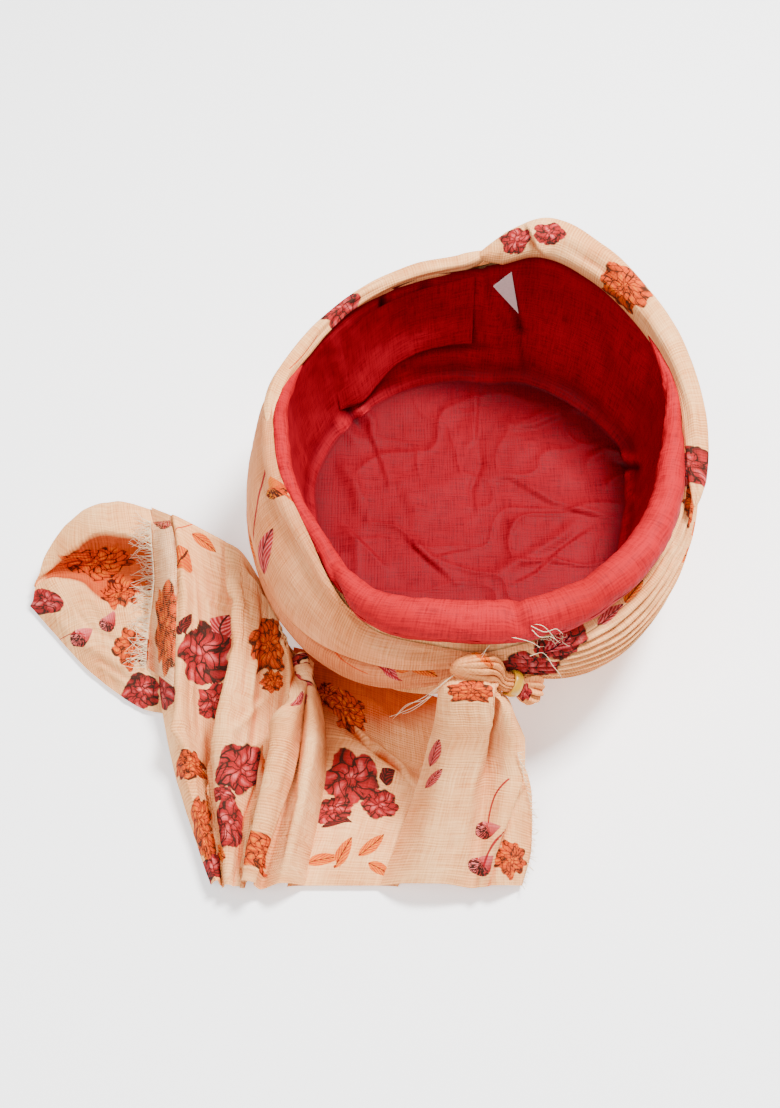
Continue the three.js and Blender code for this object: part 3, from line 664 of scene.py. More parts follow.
# Painted shade: the knot's muslin is a darker copy of the printed muslin, for the gathered knot
SHADED_KNOT_MUSLIN = muslin("shaded knot muslin", color(240, 168, 104), color(222, 132, 66), color(140, 40, 18))
RUBBER_SHINE = plain("tie rubber", color(204, 146, 10), 0.3, Specular_IOR_Level=0.6)
LABEL_TAPE = plain("label tape", color(236, 216, 212), 0.8)


# Meshes from nets of points
def blurred(net, passes):
    for _ in range(passes):
        wide = np.pad(net, ((1, 1), (1, 1), (0, 0)), mode="edge")
        net = (net + wide[:-2, 1:-1] + wide[2:, 1:-1] + wide[1:-1, :-2] + wide[1:-1, 2:]) / 5
    return net


def face_corners(grid):
    """A grid's values at the four corners of each of its faces."""
    return np.stack([grid[:-1, :-1], grid[1:, :-1], grid[1:, 1:], grid[:-1, 1:]], axis=2)


def net_normals(net):
    along = np.gradient(net, axis=0)
    across = np.gradient(net, axis=1)
    normal = np.cross(along, across)
    return normal / (np.linalg.norm(normal, axis=-1, keepdims=True) + 1e-9)


def arc_lengths(net):
    """The cloth's own coordinates in millimetres: lengths along the middle column and each row."""
    middle = net[:, net.shape[1] // 2]
    rows = np.concatenate([[0], np.cumsum(np.linalg.norm(np.diff(middle, axis=0), axis=1))])
    steps = np.linalg.norm(np.diff(net, axis=1), axis=-1)
    across = np.concatenate([np.zeros((len(net), 1)), np.cumsum(steps, axis=1)], axis=1)
    across = across - across[:, net.shape[1] // 2][:, None]
    return np.stack([np.broadcast_to(rows[:, None], across.shape), across], axis=-1)


def motif_frame(net, flat, normal, spot, half, angle):
    """Where a motif seen at a pixel lies on the cloth: its centre and two half axes."""
    pixels, depth = seen_at(net)
    facing = facing_camera(net, normal) > 0
    miss = np.linalg.norm(pixels - np.array(spot, float), axis=-1) + np.where(facing, 0, 60)
    near = miss < miss.min() + 2.5
    i, j = np.unravel_index(np.argmin(np.where(near, depth, 1e9)), near.shape)
    if miss.min() > 40:
        return None
    close = np.linalg.norm(flat - flat[i, j], axis=-1) < max(7.0, 0.3 * min(half))
    shift = (flat - flat[i, j])[close]
    seen = (pixels - pixels[i, j])[close]
    jacobian = np.linalg.lstsq(shift, seen, rcond=None)[0].T
    left, sizes, right = np.linalg.svd(jacobian)
    sizes = np.maximum(sizes, 0.45 * sizes.max())
    inverse = np.linalg.inv(left @ np.diag(sizes) @ right)
    turn = math.radians(angle)
    along = inverse @ (half[0] * np.array([math.cos(turn), -math.sin(turn)]))
    up = inverse @ (half[1] * np.array([-math.sin(turn), -math.cos(turn)]))
    return flat[i, j], np.stack([along, up], axis=1)


def motif_corners(flat, motifs):
    """Corner coordinates of each face in the motif that it carries."""
    corners = face_corners(flat)
    middle = corners.mean(axis=2)
    result = np.zeros(corners.shape)
    best = np.full(middle.shape[:2], 1.12)
    for kind, variant, centre, axes in motifs:
        inverse = np.linalg.inv(axes)
        local = (middle - centre) @ inverse.T
        reach = np.abs(local).max(axis=-1)
        if KINDS[kind] <= 2:
            reach = np.maximum(reach, np.linalg.norm(local, axis=-1) - 0.12)
        chosen = reach < best
        best[chosen] = reach[chosen]
        inside = (corners[chosen] - centre) @ inverse.T
        result[chosen] = inside + np.array([KINDS[kind], variant]) * CELL
    return result


def unseen_motifs(net, flat, normal, seed):
    """Flowers and leaves at even spacing over the cloth that the photograph doesn't show."""
    hidden = facing_camera(net, normal) < -0.2
    low, high = flat.reshape(-1, 2).min(0), flat.reshape(-1, 2).max(0)
    blooms, sprigs = [], []
    for i in range(int((high[0] - low[0]) / MOTIF_STEP) + 1):
        for j in range(int((high[1] - low[1]) / MOTIF_STEP) + 1):
            chance = [hashed(np.array(i), np.array(j), seed + k) for k in range(4)]
            place = [i + 0.5 + 0.25 * chance[0], j + 0.5 * (i % 2) + 0.25 * chance[1]]
            centre = low + MOTIF_STEP * np.array(place)
            miss = np.linalg.norm(flat - centre, axis=-1)
            spot = np.unravel_index(np.argmin(miss), miss.shape)
            if miss[spot] > 4 or not hidden[spot]:
                continue
            ink = "red" if chance[2] > -0.2 else "orange"
            size = 14 + 3 * chance[3]
            turn = math.pi * float(chance[2])
            along = np.array([math.cos(turn), math.sin(turn)])
            up = np.array([-along[1], along[0]])
            flower = {"red": "rose", "orange": "marigold"}[ink]
            blooms.append((flower, 1 + (i + j) % 4, centre, np.stack([along, up], 1) * size))
            for k, reach in enumerate((1.7, -1.8)):
                leaf = np.stack([along * 9, up * 5], 1)
                sprigs.append((f"{ink} leaf", 2 + k, centre + along * size * reach + up * 4 * reach, leaf))
    return blooms, sprigs


def made_object(name, mesh, material):
    mesh.polygons.foreach_set("use_smooth", [True] * len(mesh.polygons))
    mesh.materials.append(material)
    made = bpy.data.objects.new(name, mesh)
    bpy.context.scene.collection.objects.link(made)
    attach(made, "root")
    return made


def piece(name, net, material, slot, motifs=((), ()), flat=None, closed=False, fold=1.0, deep=1.4,
          outward=1, replaces=(), painted_shade=0.0, scatter=None):
    """A cloth surface from a net of points, with its maps and painted shade, both in the hollows of its
    folds and where the caller asks for it.
    """
    rows, columns = net.shape[:2]
    if flat is None:
        flat = arc_lengths(net)
    normal = net_normals(net) * outward
    # Painted shade: the colour darkens in the hollows of the folds, and at least as much as the caller's
    # painted shade asks
    hollow = ((blurred(net, 24) - net) * normal).sum(-1)
    shade = np.maximum(np.clip(hollow / deep, 0, 1) * fold, painted_shade)
    unseen = ((), ()) if scatter is None else unseen_motifs(net, flat, normal, scatter)
    index = np.arange(rows * columns).reshape(rows, columns)
    faces = face_corners(index).reshape(-1, 4)
    if outward < 0:
        faces = faces[:, ::-1]
    mesh = bpy.data.meshes.new(name)
    mesh.from_pydata((net.reshape(-1, 3) * MM).tolist(), [], faces.tolist())
    maps = {"cloth": face_corners(flat) * MM}
    for layer, chosen, more in zip(("bloom", "sprig"), motifs, unseen):
        found = list(more)
        for kind, spot, half, angle, variant in chosen:
            where = motif_frame(net, flat, normal, spot, half, angle)
            if where is not None:
                found.append((kind, variant, *where))
        maps[layer] = motif_corners(flat, found)
    for layer, corners in maps.items():
        corners = corners.reshape(-1, 4, 2)
        if outward < 0:
            corners = corners[:, ::-1]
        mesh.uv_layers.new(name=layer).data.foreach_set("uv", corners.reshape(-1).astype(np.float32))
    # The fold attribute holds the painted shade
    mesh.attributes.new("fold", "FLOAT", "POINT").data.foreach_set("value", shade.reshape(-1))
    if closed:
        work = bmesh.new()
        work.from_mesh(mesh)
        bmesh.ops.remove_doubles(work, verts=work.verts, dist=1e-6)
        work.to_mesh(mesh)
        work.free()
    made = made_object(name, mesh, material)
    if replaces:
        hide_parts(*replaces)
    return made


# Lining
def lining_bowl():
    """Wall and floor of the bowl in one cloth: loose folds on the wall, wrinkles on the floor."""
    az = np.linspace(-90, 270, 481)
    heights = np.linspace(0, 1, WALL_ROWS)
    rim_r, rim_z, size = rim_at(az)
    top = rim_z - 0.2 * size
    z = mix(FLOOR_Z - FLOOR_SAG, top[:, None], heights[None, :])
    under = roll_depth(size[:, None], z - rim_z[:, None])
    r = np.minimum(lining_face(az[:, None], z), rim_r[:, None] - under + 0.3)
    around = np.radians(az)[:, None]
    drape = 0.9 * ripple(3.2 * np.cos(around) + 4 + heights * 1.5, 3.2 * np.sin(around) + heights * 2.2, 5)
    upright = 0.8 * ripple(9 * np.cos(around) + heights * 0.8, 9 * np.sin(around), 9, 2)
    calm = smooth(0, 0.12, heights) * smooth(1, 0.9, heights)
    foot = FOOT_IN * smooth(0.16, 0, heights) ** 2
    wall = polar(az[:, None], r + (drape + upright - 0.6) * calm - foot, z + 0.5 * foot)
    wall = wall[:, ::-1]
    rings = np.linspace(1, 0, FLOOR_RINGS + 1)[1:]
    rim = lining_face(az, FLOOR_Z * np.ones(1))[:, None]
    flat = polar(az[:, None], rings[None, :] * (rim - FOOT_IN), 0 * az[:, None])
    x, y = flat[..., 0], flat[..., 1]
    relief = 1.5 * ripple(x / 26, y / 26, 3) + 0.4 * ripple(x / 9, y / 9, 8, 2)
    for size, seed, high in ((34, 12, 1.5), (21, 13, 0.8)):
        bent_x = x / size + 0.5 * ripple(x / 40, y / 40, seed + 20, 2)
        bent_y = y / size + 0.5 * ripple(x / 40, y / 40, seed + 30, 2)
        relief += high * (1 - np.abs(ripple(bent_x, bent_y, seed, 1))) ** 7
    rise = 0.5 * FOOT_IN * rings**9
    flat[..., 2] = FLOOR_Z - FLOOR_SAG + relief * (1 - rings**8)[None, :] + rise[None, :]
    net = np.concatenate([wall, flat], axis=1)
    net = traced(net, BOWL_LINES, soft=3.0)
    # Painted shade: a strip of the wall along its top under the rim, and the whole floor, deepest at its
    # edge by the wall
    shadow = np.concatenate([0.8 * smooth(0.1, 0, heights), 0.55 + 0.35 * rings**12])
    made = piece("lining_bowl", net, COTTON, "red_lining", flat=bowl_map(net, az), fold=0.9, deep=1.8,
                 replaces=("lining_wall", "lining_floor"), painted_shade=0.8 * shadow[None, :])


def bowl_map(net, az):
    """Lining wall runs round the bowl; its floor is mapped from above."""
    flat = np.empty(net.shape[:2] + (2,))
    flat[:, :WALL_ROWS, 0] = np.radians(az)[:, None] * BOWL_ROUND
    flat[:, :WALL_ROWS, 1] = net[:, :WALL_ROWS, 2]
    flat[:, WALL_ROWS:] = net[:, WALL_ROWS:, :2]
    return flat


# Folds of the lining: how, height, width in pixels and the pixel line
BOWL_LINES = [
    ("lap left", 1.6, 10, [(478, 372), (478, 395), (476, 441), (459, 455)]),
    ("ridge", -1.0, 4, [(478, 441), (481, 465), (471, 489), (474, 520)]),
    ("lap right", 1.4, 9, [(366, 405), (368, 431), (381, 463), (392, 500)]),
    ("ridge", 1.8, 6, [(352, 404), (372, 420), (376, 444)]),
    ("ridge", -1.3, 5, [(343, 404), (356, 418), (366, 440)]),
    ("ridge", 1.5, 6, [(330, 412), (348, 432), (364, 452)]),
    ("lap left", 1.7, 9, [(336, 515), (345, 526), (372, 552), (393, 574)]),
    ("lap right", 1.8, 10, [(401, 535), (430, 562), (461, 589)]),
    ("lap left", 1.1, 6, [(425, 560), (455, 552), (490, 545)]),
    ("ridge", 1.5, 7, [(335, 452), (355, 487), (362, 520)]),
    ("ridge", 1.2, 8, [(392, 462), (415, 508), (418, 540)]),
    ("lap right", 1.5, 12, [(488, 417), (514, 430), (535, 427), (572, 411), (600, 420)]),
    ("lap right", 1.8, 10, [(475, 485), (509, 479), (532, 492), (553, 505), (598, 516), (642, 530)]),
    ("lap right", 1.8, 9, [(600, 522), (561, 549), (535, 573), (500, 590)]),
    ("ridge", 1.3, 6, [(475, 583), (527, 558), (561, 537), (600, 500)]),
    ("ridge", 2.2, 5, [(582, 464), (606, 451), (627, 458), (646, 461)]),
    ("ridge", -1.5, 5, [(606, 458), (628, 465), (647, 470)]),
    ("ridge", 2.0, 4, [(636, 470), (620, 478), (600, 488)]),
    ("ridge", 1.5, 5, [(632, 474), (630, 492), (640, 510)]),
    ("ridge", -2.2, 5, [(385, 262), (384, 313), (388, 370)]),
    ("ridge", -1.8, 8, [(432, 255), (425, 300), (424, 365)]),
    ("lap left", 2.0, 7, [(482, 235), (488, 300), (503, 325), (525, 337), (530, 400)]),
    ("ridge", -1.6, 4, [(495, 262), (519, 322), (528, 400)]),
    ("ridge", -1.8, 5, [(350, 376), (384, 362), (425, 350), (483, 348), (520, 352)]),
    ("ridge", 1.2, 9, [(640, 346), (638, 372), (634, 398)]),
    ("ridge", -1.0, 9, [(600, 310), (604, 350), (610, 400)]),
    ("ridge", 1.0, 8, [(330, 330), (338, 360), (345, 396)]),
    ("ridge", 0.9, 10, [(540, 440), (560, 462), (575, 492)]),
    ("ridge", 0.9, 9, [(505, 500), (520, 530), (520, 560)]),
]


def lining_hem():
    """The lining's end, turned in and laid over the far wall; its lower edge stands off a little."""
    start, end = 90, 134.5
    az = np.linspace(start, end, 110)
    low, high = table(HEM_FLAP)(az)
    share = np.linspace(0, 1, 60)
    z = mix(low[:, None], high[:, None], share)
    low_edge = smooth(0, 0.05, share) * smooth(0.5, 0.1, share)
    inset = 1.6 + 2.2 * low_edge + 0.6 * ripple(az[:, None] / 6, share * 2.5, 4)
    inset = inset * smooth(end, 126, az)[:, None] + 0.25
    net = polar(az[:, None], lining_face(az[:, None], z) - inset, z)
    made = piece("lining_hem_flap", net, COTTON, "red_lining", outward=-1, replaces=("lining_hem",))


def roll(name, row_at, span, size, look, detail, replaces, motifs=((), ()), taper=11, lines=()):
    """A padded roll along the rim: a tube whose section closes on itself."""
    start, end = span
    steps, sides = size
    az = np.linspace(start, end, steps)
    r, z, full = row_at(az)
    turn = np.linspace(0, 2 * np.pi, sides)
    open_end = np.sqrt(np.clip(np.minimum(az - start, end - az) / taper, 0.002, 1))
    radius = full[:, None] * open_end[:, None] + detail(az[:, None], turn[None, :]) * open_end[:, None]
    out = r[:, None] + radius * np.cos(turn)
    height = z[:, None] + radius * np.sin(turn)
    net = traced(polar(az[:, None], out, height), lines)
    made = piece(name, net, *look, motifs=motifs, closed=True, replaces=replaces)


# Pinches in the red roll: azimuth, depth and width
RED_PINCHES = ((228, -1.3, 3), (283, -1.5, 2.4), (250, -0.5, 3), (305, -0.7, 4), (200, -0.6, 3))


def red_roll_detail(az, turn):
    pinch = 0.0
    for at, deep, wide in RED_PINCHES:
        pinch = pinch + deep * np.exp(-(((az - at + 6 * np.sin(turn)) / wide) ** 2))
    waves = 0.35 * ripple(az / 5 + turn, turn * 0.9, 21, 2)
    waves = waves + 0.25 * ripple(az / 2.2 - 1.3 * turn, turn, 22, 2)
    return pinch + waves


def peach_roll_detail(az, turn):
    lines = 0.35 * np.sin(3 * turn + az / 14) + 0.3 * np.sin(5 * turn - az / 9)
    return lines + 0.4 * ripple(az / 12 + 0.4 * turn, turn * 1.6, 31, 2)


FRONT_ROLL_LINES = [
    ("lap right", 2.6, 12, [(522, 222), (530, 233), (538, 249), (552, 262)]),
    ("ridge", -1.0, 4, [(480, 262), (500, 246), (522, 240)]),
    ("ridge", -0.9, 4, [(560, 245), (600, 268), (640, 310)]),
]


def wrap(name, edges, span, size, detail, replaces, motifs=((), ()), above=0.0, painted_shade=0.0):
    """A flat wrap on the cap. Its two long edges tuck in against the cap."""
    start, end = span
    steps, rows = size
    az = np.linspace(start, end, steps)
    low, high, thick = table(edges)(az)
    share = np.linspace(0, 1 + above, rows)
    z = mix(low[:, None], high[:, None], share)
    inside = np.clip(share, 0, 1)
    swell = mix(0.9, thick[:, None], np.sin(np.pi * inside) ** 0.7)
    edge = smooth(share[0], share[0] + 0.05, share) * smooth(share[-1], share[-1] - 0.05, share)
    r = core_radius(az, z) + WRAP_CLEAR * edge + swell * edge + detail(az[:, None], share) * edge
    net = polar(az[:, None], r, z)
    made = piece(name, net, MUSLIN, "peach_cloth", motifs=motifs, replaces=replaces,
                 scatter=int(start) + 90, painted_shade=painted_shade)
    return net


def band_detail(seed):
    """Long soft folds of a smooth wrap, which draw together towards the knot."""
    def detail(az, share):
        gather = smooth(225, 262, az)
        long_folds = (0.35 + 0.9 * gather) * np.sin(share * (14 + 6 * np.sin(az / 40)) + az / 25)
        soft = 0.9 * ripple(az / 22, share * 3.2 + az / 90, seed)
        soft = soft + 0.35 * ripple(az / 7, share * 9, seed + 1, 2)
        return long_folds * 0.6 + soft
    return detail


SUB_PLEATS = 11


def pleat_detail(az, share):
    """Narrow overlapping pleats; their count stays as they draw together at the knot."""
    drift = 0.35 * ripple(az / 30, share * 2, 41, 2)
    phase = np.mod(share * SUB_PLEATS + drift, 1)
    lip = smooth(0, 0.75, phase) * smooth(1, 0.93, phase)
    strength = 0.6 + 0.9 * smooth(110, 20, az) * smooth(-84, -60, az)
    return (lip - 0.45) * 2.0 * strength + 0.4 * ripple(az / 9, share * 12, 43, 2)


def crown_wrap():
    """Lower side and crown of the cap, wound round and round."""
    az = np.linspace(-90, 270, 361)
    rings = 25
    turned_in = [[3, 0]]
    rows = []
    for angle in az:
        side = cap_profile(angle)
        rows.append(np.vstack([side, side[-1:] - turned_in]))
    side = np.array(rows)
    crown = np.linspace(0.02, 1, rings + 1)[:-1] * CROWN_FLAT
    r = np.concatenate([np.broadcast_to(crown, (len(az), rings)), side[..., 0]], axis=1)
    z = np.concatenate([np.zeros((len(az), rings)), side[..., 1]], axis=1)
    wind = np.sin(z / 3.1 + np.radians(az)[:, None] * 2) * 0.5 * smooth(2, 9, z) * smooth(97, 60, z)
    z = z + 0.15 * smooth(CROWN_FLAT, 30, r) * smooth(1, 0, z) * (1 + np.sin(r / 4))
    net = polar(az[:, None], r - 0.6 + wind - GAP, z)
    made = piece("crown_wrap", net, MUSLIN, "peach_cloth", replaces=("cap_body",), scatter=7)


# Tail folds: how, height, width in pixels and the pixel line
FAN_LINES = [
    ("lap right", 4.8, 16, [(164, 470), (175, 532), (179, 598), (175, 679), (175, 731), (188, 770),
                            (206, 850)]),
    ("lap right", 5.4, 14, [(216, 470), (226, 540), (231, 566), (238, 605), (236, 647), (226, 705),
                            (221, 741), (213, 789), (214, 830), (217, 960)]),
    ("ridge", -1.3, 3, [(206, 723), (210, 760), (213, 795)]),
    ("ridge", 1.3, 4, [(278, 689), (255, 707), (231, 731), (223, 768)]),
    ("lap right", 5.8, 13, [(284, 560), (300, 630), (297, 675), (287, 705), (268, 757), (247, 815),
                            (222, 950)]),
    ("lap left", 3.4, 12, [(312, 640), (303, 720), (291, 762), (275, 807), (255, 864), (240, 940)]),
    ("ridge", 1.6, 5, [(246, 560), (256, 640), (246, 720), (236, 800)]),
    ("ridge", -1.4, 4, [(252, 590), (262, 650), (254, 720), (244, 790)]),
    ("lap left", 3.0, 12, [(240, 560), (262, 600), (285, 640), (296, 668)]),
    ("ridge", 1.2, 4, [(250, 588), (258, 640), (250, 700)]),
    ("ridge", 1.1, 3, [(190, 560), (194, 620), (188, 700), (192, 760)]),
    ("ridge", -1.2, 4, [(205, 560), (214, 610), (216, 700)]),
    ("ridge", 1.6, 6, [(309, 690), (312, 740), (300, 800), (280, 893)]),
    ("ridge", -1.2, 4, [(300, 740), (296, 800), (270, 893)]),
    ("ridge", 1.0, 3, [(226, 770), (234, 820), (228, 893)]),
    ("ridge", -1.0, 3, [(196, 800), (206, 850), (222, 893)]),
]
SHEET_LINES = [
    ("lap right", 3.0, 16, [(314, 690), (333, 707), (367, 744), (400, 768), (424, 800)]),
    ("ridge", 1.2, 6, [(330, 760), (345, 820), (340, 890)]),
    ("ridge", 1.0, 5, [(395, 790), (372, 840), (360, 890)]),
    ("ridge", 1.5, 7, [(350, 680), (385, 715), (430, 745)]),
]
NEAR_LINES = [
    ("lap left", 3.8, 15, [(507, 625), (497, 684), (491, 708), (484, 732), (483, 790)]),
    ("ridge", -1.8, 4, [(510, 625), (499, 690), (494, 712), (487, 734), (486, 780)]),
    ("lap left", 4.6, 12, [(526, 690), (519, 780), (510, 808), (505, 828), (497, 849), (462, 950)]),
    ("ridge", -2.0, 4, [(530, 690), (523, 780), (514, 810), (509, 830), (501, 851), (466, 950)]),
    ("ridge", 2.6, 16, [(458, 660), (452, 730), (446, 790), (410, 915)]),
    ("ridge", -0.9, 6, [(474, 735), (462, 790), (440, 900)]),
    ("ridge", 1.6, 6, [(504, 680), (508, 730), (506, 780)]),
    ("ridge", -2.4, 5, [(436, 668), (430, 720), (432, 745)]),
]
END_LINES = [
    ("ridge", -1.2, 4, [(120, 538), (116, 556), (112, 574)]),
    ("ridge", 1.0, 4, [(74, 545), (84, 556), (88, 572)]),
    ("ridge", 1.2, 5, [(46, 606), (80, 640), (120, 664), (156, 690)]),
    ("ridge", -1.0, 4, [(60, 592), (92, 630), (140, 650)]),
    ("ridge", 0.9, 3, [(86, 664), (100, 666), (128, 684), (156, 700)]),
]
# The open end of the tail: a hood that curls over a hollow, its lip and the cloth in front of it.
# Rows of photo pixel and height from the fan to the tip.
END_SEEN = [
    [(158, 541, 26), (126, 533, 30), (97, 531, 30), (67, 550, 22), (50, 568, 13), (36, 580, 9)],
    [(160, 547, 21), (127, 541, 24), (100, 539, 24), (70, 557, 17), (51, 571, 11), (36, 582, 8)],
    [(162, 566, 8), (128, 566, 6), (102, 568, 5), (78, 570, 6), (51, 574, 9), (36, 584, 7)],
    [(162, 588, 8), (128, 586, 6), (104, 590, 5), (80, 578, 6), (51, 577, 8), (36, 586, 7)],
    [(162, 598, 14), (128, 600, 15), (106, 606, 15), (80, 585, 14), (50, 580, 11), (35, 588, 8)],
    [(164, 640, 13), (128, 636, 13), (100, 622, 13), (70, 606, 13), (34, 593, 8)],
    [(166, 688, 8), (136, 674, 9), (108, 654, 9), (76, 632, 9), (33, 600, 6)],
    [(166, 714, 2), (143, 709, 2), (117, 693, 2), (84, 666, 2), (30, 606, 2)],
]
# The raw hem of the fan's left edge over the hood, the fold it springs from and the near panel's raw edge
RAW_EDGE = [(151, 521), (152, 545), (154, 578), (152, 602), (148, 634), (146, 668)]
HEM_FOLD = [(171, 519), (177, 545), (178, 590), (177, 640), (175, 690)]
NEAR_RAW = [(517, 752), (523, 775), (531, 812), (531, 848), (522, 886)]


# Tail
def fold_net(folds, rows, columns):
    """Cloth over a row of fold lines, each of which is a curve from the back to the near edge."""
    along = np.linspace(0, 1, rows)
    lines = np.array([spline(line, along) for line in folds])
    return np.array([spline(lines[:, i], np.linspace(0, 1, columns)) for i in range(rows)])


def shaken(net, seed, waves, size, fine=0.3):
    """Ripples that run down the cloth, stronger in the middle than at its edges."""
    s, t = shares(*net.shape[:2])
    long_folds = ripple(s * 2.2, t * waves, seed) * size
    cross = ripple(s * 14, t * waves * 1.4, seed + 1, 2) * fine
    edge = smooth(0, 0.05, s) * smooth(1, 0.97, s)
    return net + net_normals(net) * ((long_folds + cross) * edge)[..., None]


def tail_fan(motifs):
    net = fold_net(FAN_FOLDS, 190, 240)
    s, t = shares(190, 240)
    net[..., 2] -= 3 * smooth(0.14, 0, s) * smooth(0.1, 0, t)
    net = shaken(net, 51, 26, -0.5)
    net = traced(net, FAN_LINES)
    made = piece("tail_fan_cloth", net, MUSLIN, "peach_cloth", motifs=motifs, deep=2.2,
                 replaces=("tail_fan",), scatter=3)
    return net


def tail_near(motifs):
    folds = [[(0.95 * x, -97.5, z - 5), (x, y, z), *more] for (x, y, z), *more in NEAR_FOLDS]
    net = fold_net(folds, 140, 120)
    net = shaken(net, 61, 9, 0.4)
    s, t = shares(140, 120)
    net[..., 0] -= 6.5 * smooth(0.5, 0.2, s) * smooth(0.5, 1, t)
    net[..., 0] += 3.2 * smooth(0.45, 0.65, s) * smooth(1.05, 0.85, s) * smooth(0.7, 1, t)
    net = traced(net, NEAR_LINES)
    made = piece("tail_near_cloth", net, MUSLIN, "peach_cloth", motifs=motifs, deep=2.6,
                 replaces=("tail_near",))
    threads = fringe("near_fringe", [net[::2, ::2]], NEAR_RAW, 70, 9, -25, 4)


def tail_end(motifs):
    folds = [*END_BACK, *[from_photo(row) for row in END_SEEN]]
    net = fold_net(folds, 130, 220)
    net = shaken(net, 71, 8, 0.5, 0.35)
    net = traced(net, END_LINES)
    net[..., 2] = np.maximum(net[..., 2], 0.6)
    s, t = shares(*net.shape[:2])
    fold = t * (len(folds) - 1)
    # Painted shade in the hollow under the hood
    mouth = smooth(2.3, 3.0, fold) * smooth(5.9, 5.3, fold) * smooth(0.95, 0.78, s)
    made = piece("tail_end_cloth", net, MUSLIN, "peach_cloth", motifs=motifs, deep=2.4,
                 replaces=("tail_end",), scatter=5, painted_shade=0.85 * mouth)
    return net


def tail_sheet(motifs):
    """The broad sheet from under the turban to the near edge, between the fan and the near panel."""
    rows, columns = 170, 130
    steps = np.linspace(0, 1, 400)
    fan_edge = spline(FAN_FOLDS[-1], steps)
    near_edge = spline(NEAR_FOLDS[0], steps)
    back = spline(SHEET_BACK, np.linspace(0, 1, columns))
    s, t = shares(rows, columns)
    y = mix(back[:, 1][None, :], SHEET_NEAR, s)
    left = np.interp(-y, -fan_edge[:, 1], fan_edge[:, 0]) + 1.5
    right = np.interp(-y, -near_edge[:, 1], near_edge[:, 0]) - 1.05
    spread = np.clip(3 * s, 0, 1)
    x = mix(back[:, 0][None, :], mix(left, right, t), spread)
    (x0, y0), (x1, y1), high, wide = SHEET_STEP
    length = math.hypot(x1 - x0, y1 - y0)
    off = ((x - x0) * (y1 - y0) - (y - y0) * (x1 - x0)) / length
    loose = np.sin(np.pi * s) ** 0.6 * np.sin(np.pi * t) ** 0.6
    tuck = UNDER * spread * (smooth(0.5, 1.0, t) - smooth(0.5, 0.0, t))
    step = high * np.where(off > 0, np.exp(-((off / wide) ** 2)), np.exp(-((off / 3.0) ** 2)))
    z = SHEET_Z + (2.4 + step + 1.1 * ripple(s * 5, t * 5 + s * 3, 81)) * loose
    z = z + 0.35 * ripple(s * 16, t * 16, 83, 2) * loose
    hidden = np.abs(2 * t - 1) ** 8 * spread
    net = np.stack([x + tuck, y, z - 1.6 * hidden], axis=-1)
    net = traced(net, SHEET_LINES)
    pixels, _ = seen_at(net)
    # Painted shadow of the turban over the back of the sheet
    under = smooth(752, 700, pixels[..., 1] + 0.25 * np.abs(pixels[..., 0] - 380))
    made = piece("tail_sheet_cloth", net, MUSLIN, "peach_cloth", motifs=motifs, deep=1.6,
                 painted_shade=0.8 * under, replaces=("tail_sheet",))


# Knot
def knot_place(x, y, z):
    """From the knot's own directions, with x along it towards the tuft, to its place on the cap."""
    c, s = math.cos(KNOT_SLOPE), math.sin(KNOT_SLOPE)
    x, y, z = np.broadcast_arrays(x, y, z)
    return np.stack([x * c + z * s, y, z * c - x * s], axis=-1) + KNOT_AT


def knot_gather(motifs):
    """Cloth drawn in from the left to the rubber band, pleated all round."""
    along = np.linspace(0, 1, 110)[:, None]
    turn = np.linspace(0, 2 * np.pi, 181)[None, :]
    x = mix(-KNOT["half"], RUBBER["at"] + RUBBER["wide"] / 2, along)
    belly = np.sin(np.pi * np.minimum(along / KNOT["belly_end"], 1)) ** 0.6
    neck = KNOT["neck"] * np.minimum(along * 4, 1)
    twist = 0.9 * along + 0.25 * ripple(along * 4, turn * 1.2, 91, 2)
    pleats = np.abs(np.cos(6.5 * (turn + twist))) ** 0.7 - 0.6
    depth = 0.1 + 0.2 * smooth(0.15, 0.6, along)
    ends = smooth(0, 0.05, along) * smooth(1, 0.97, along)
    size = (1 + depth * pleats) * ends
    wide = np.maximum(KNOT["wide"] * belly, neck) * size
    deep = np.maximum(KNOT["deep"] * belly, neck) * size
    net = knot_place(x, KNOT["bow"] * belly + deep * np.cos(turn), wide * np.sin(turn))
    made = piece("knot_gather", net, SHADED_KNOT_MUSLIN, "peach_cloth", motifs=motifs, closed=True, outward=-1,
                 deep=0.9, replaces=("knot",))


def knot_tuft(motifs, threads):
    """The gathered ends of the knot, spread out beyond the band."""
    along = np.linspace(0, 1, 70)[:, None]
    turn = np.linspace(0, 2 * np.pi, 145)[None, :]
    side = spline(TUFT_SIDE, np.linspace(0, 1, 70))
    frill = 1 + 0.16 * smooth(0.1, 0.5, along) * np.sin(11 * turn + 2 * along)
    frill = frill + 0.1 * ripple(turn * 3, along * 5, 95)
    r = side[:, :1] * frill
    x = TUFT_FROM + side[:, 1:] + 0.9 * ripple(turn * 1.6, along * 2, 96) * smooth(0.3, 0.7, along)
    net = knot_place(x, r * np.cos(turn), r * np.sin(turn))
    made = piece("knot_tuft_cloth", net, SHADED_KNOT_MUSLIN, "peach_cloth", motifs=motifs, closed=True, outward=-1,
                 deep=0.9, replaces=("knot_tuft",))


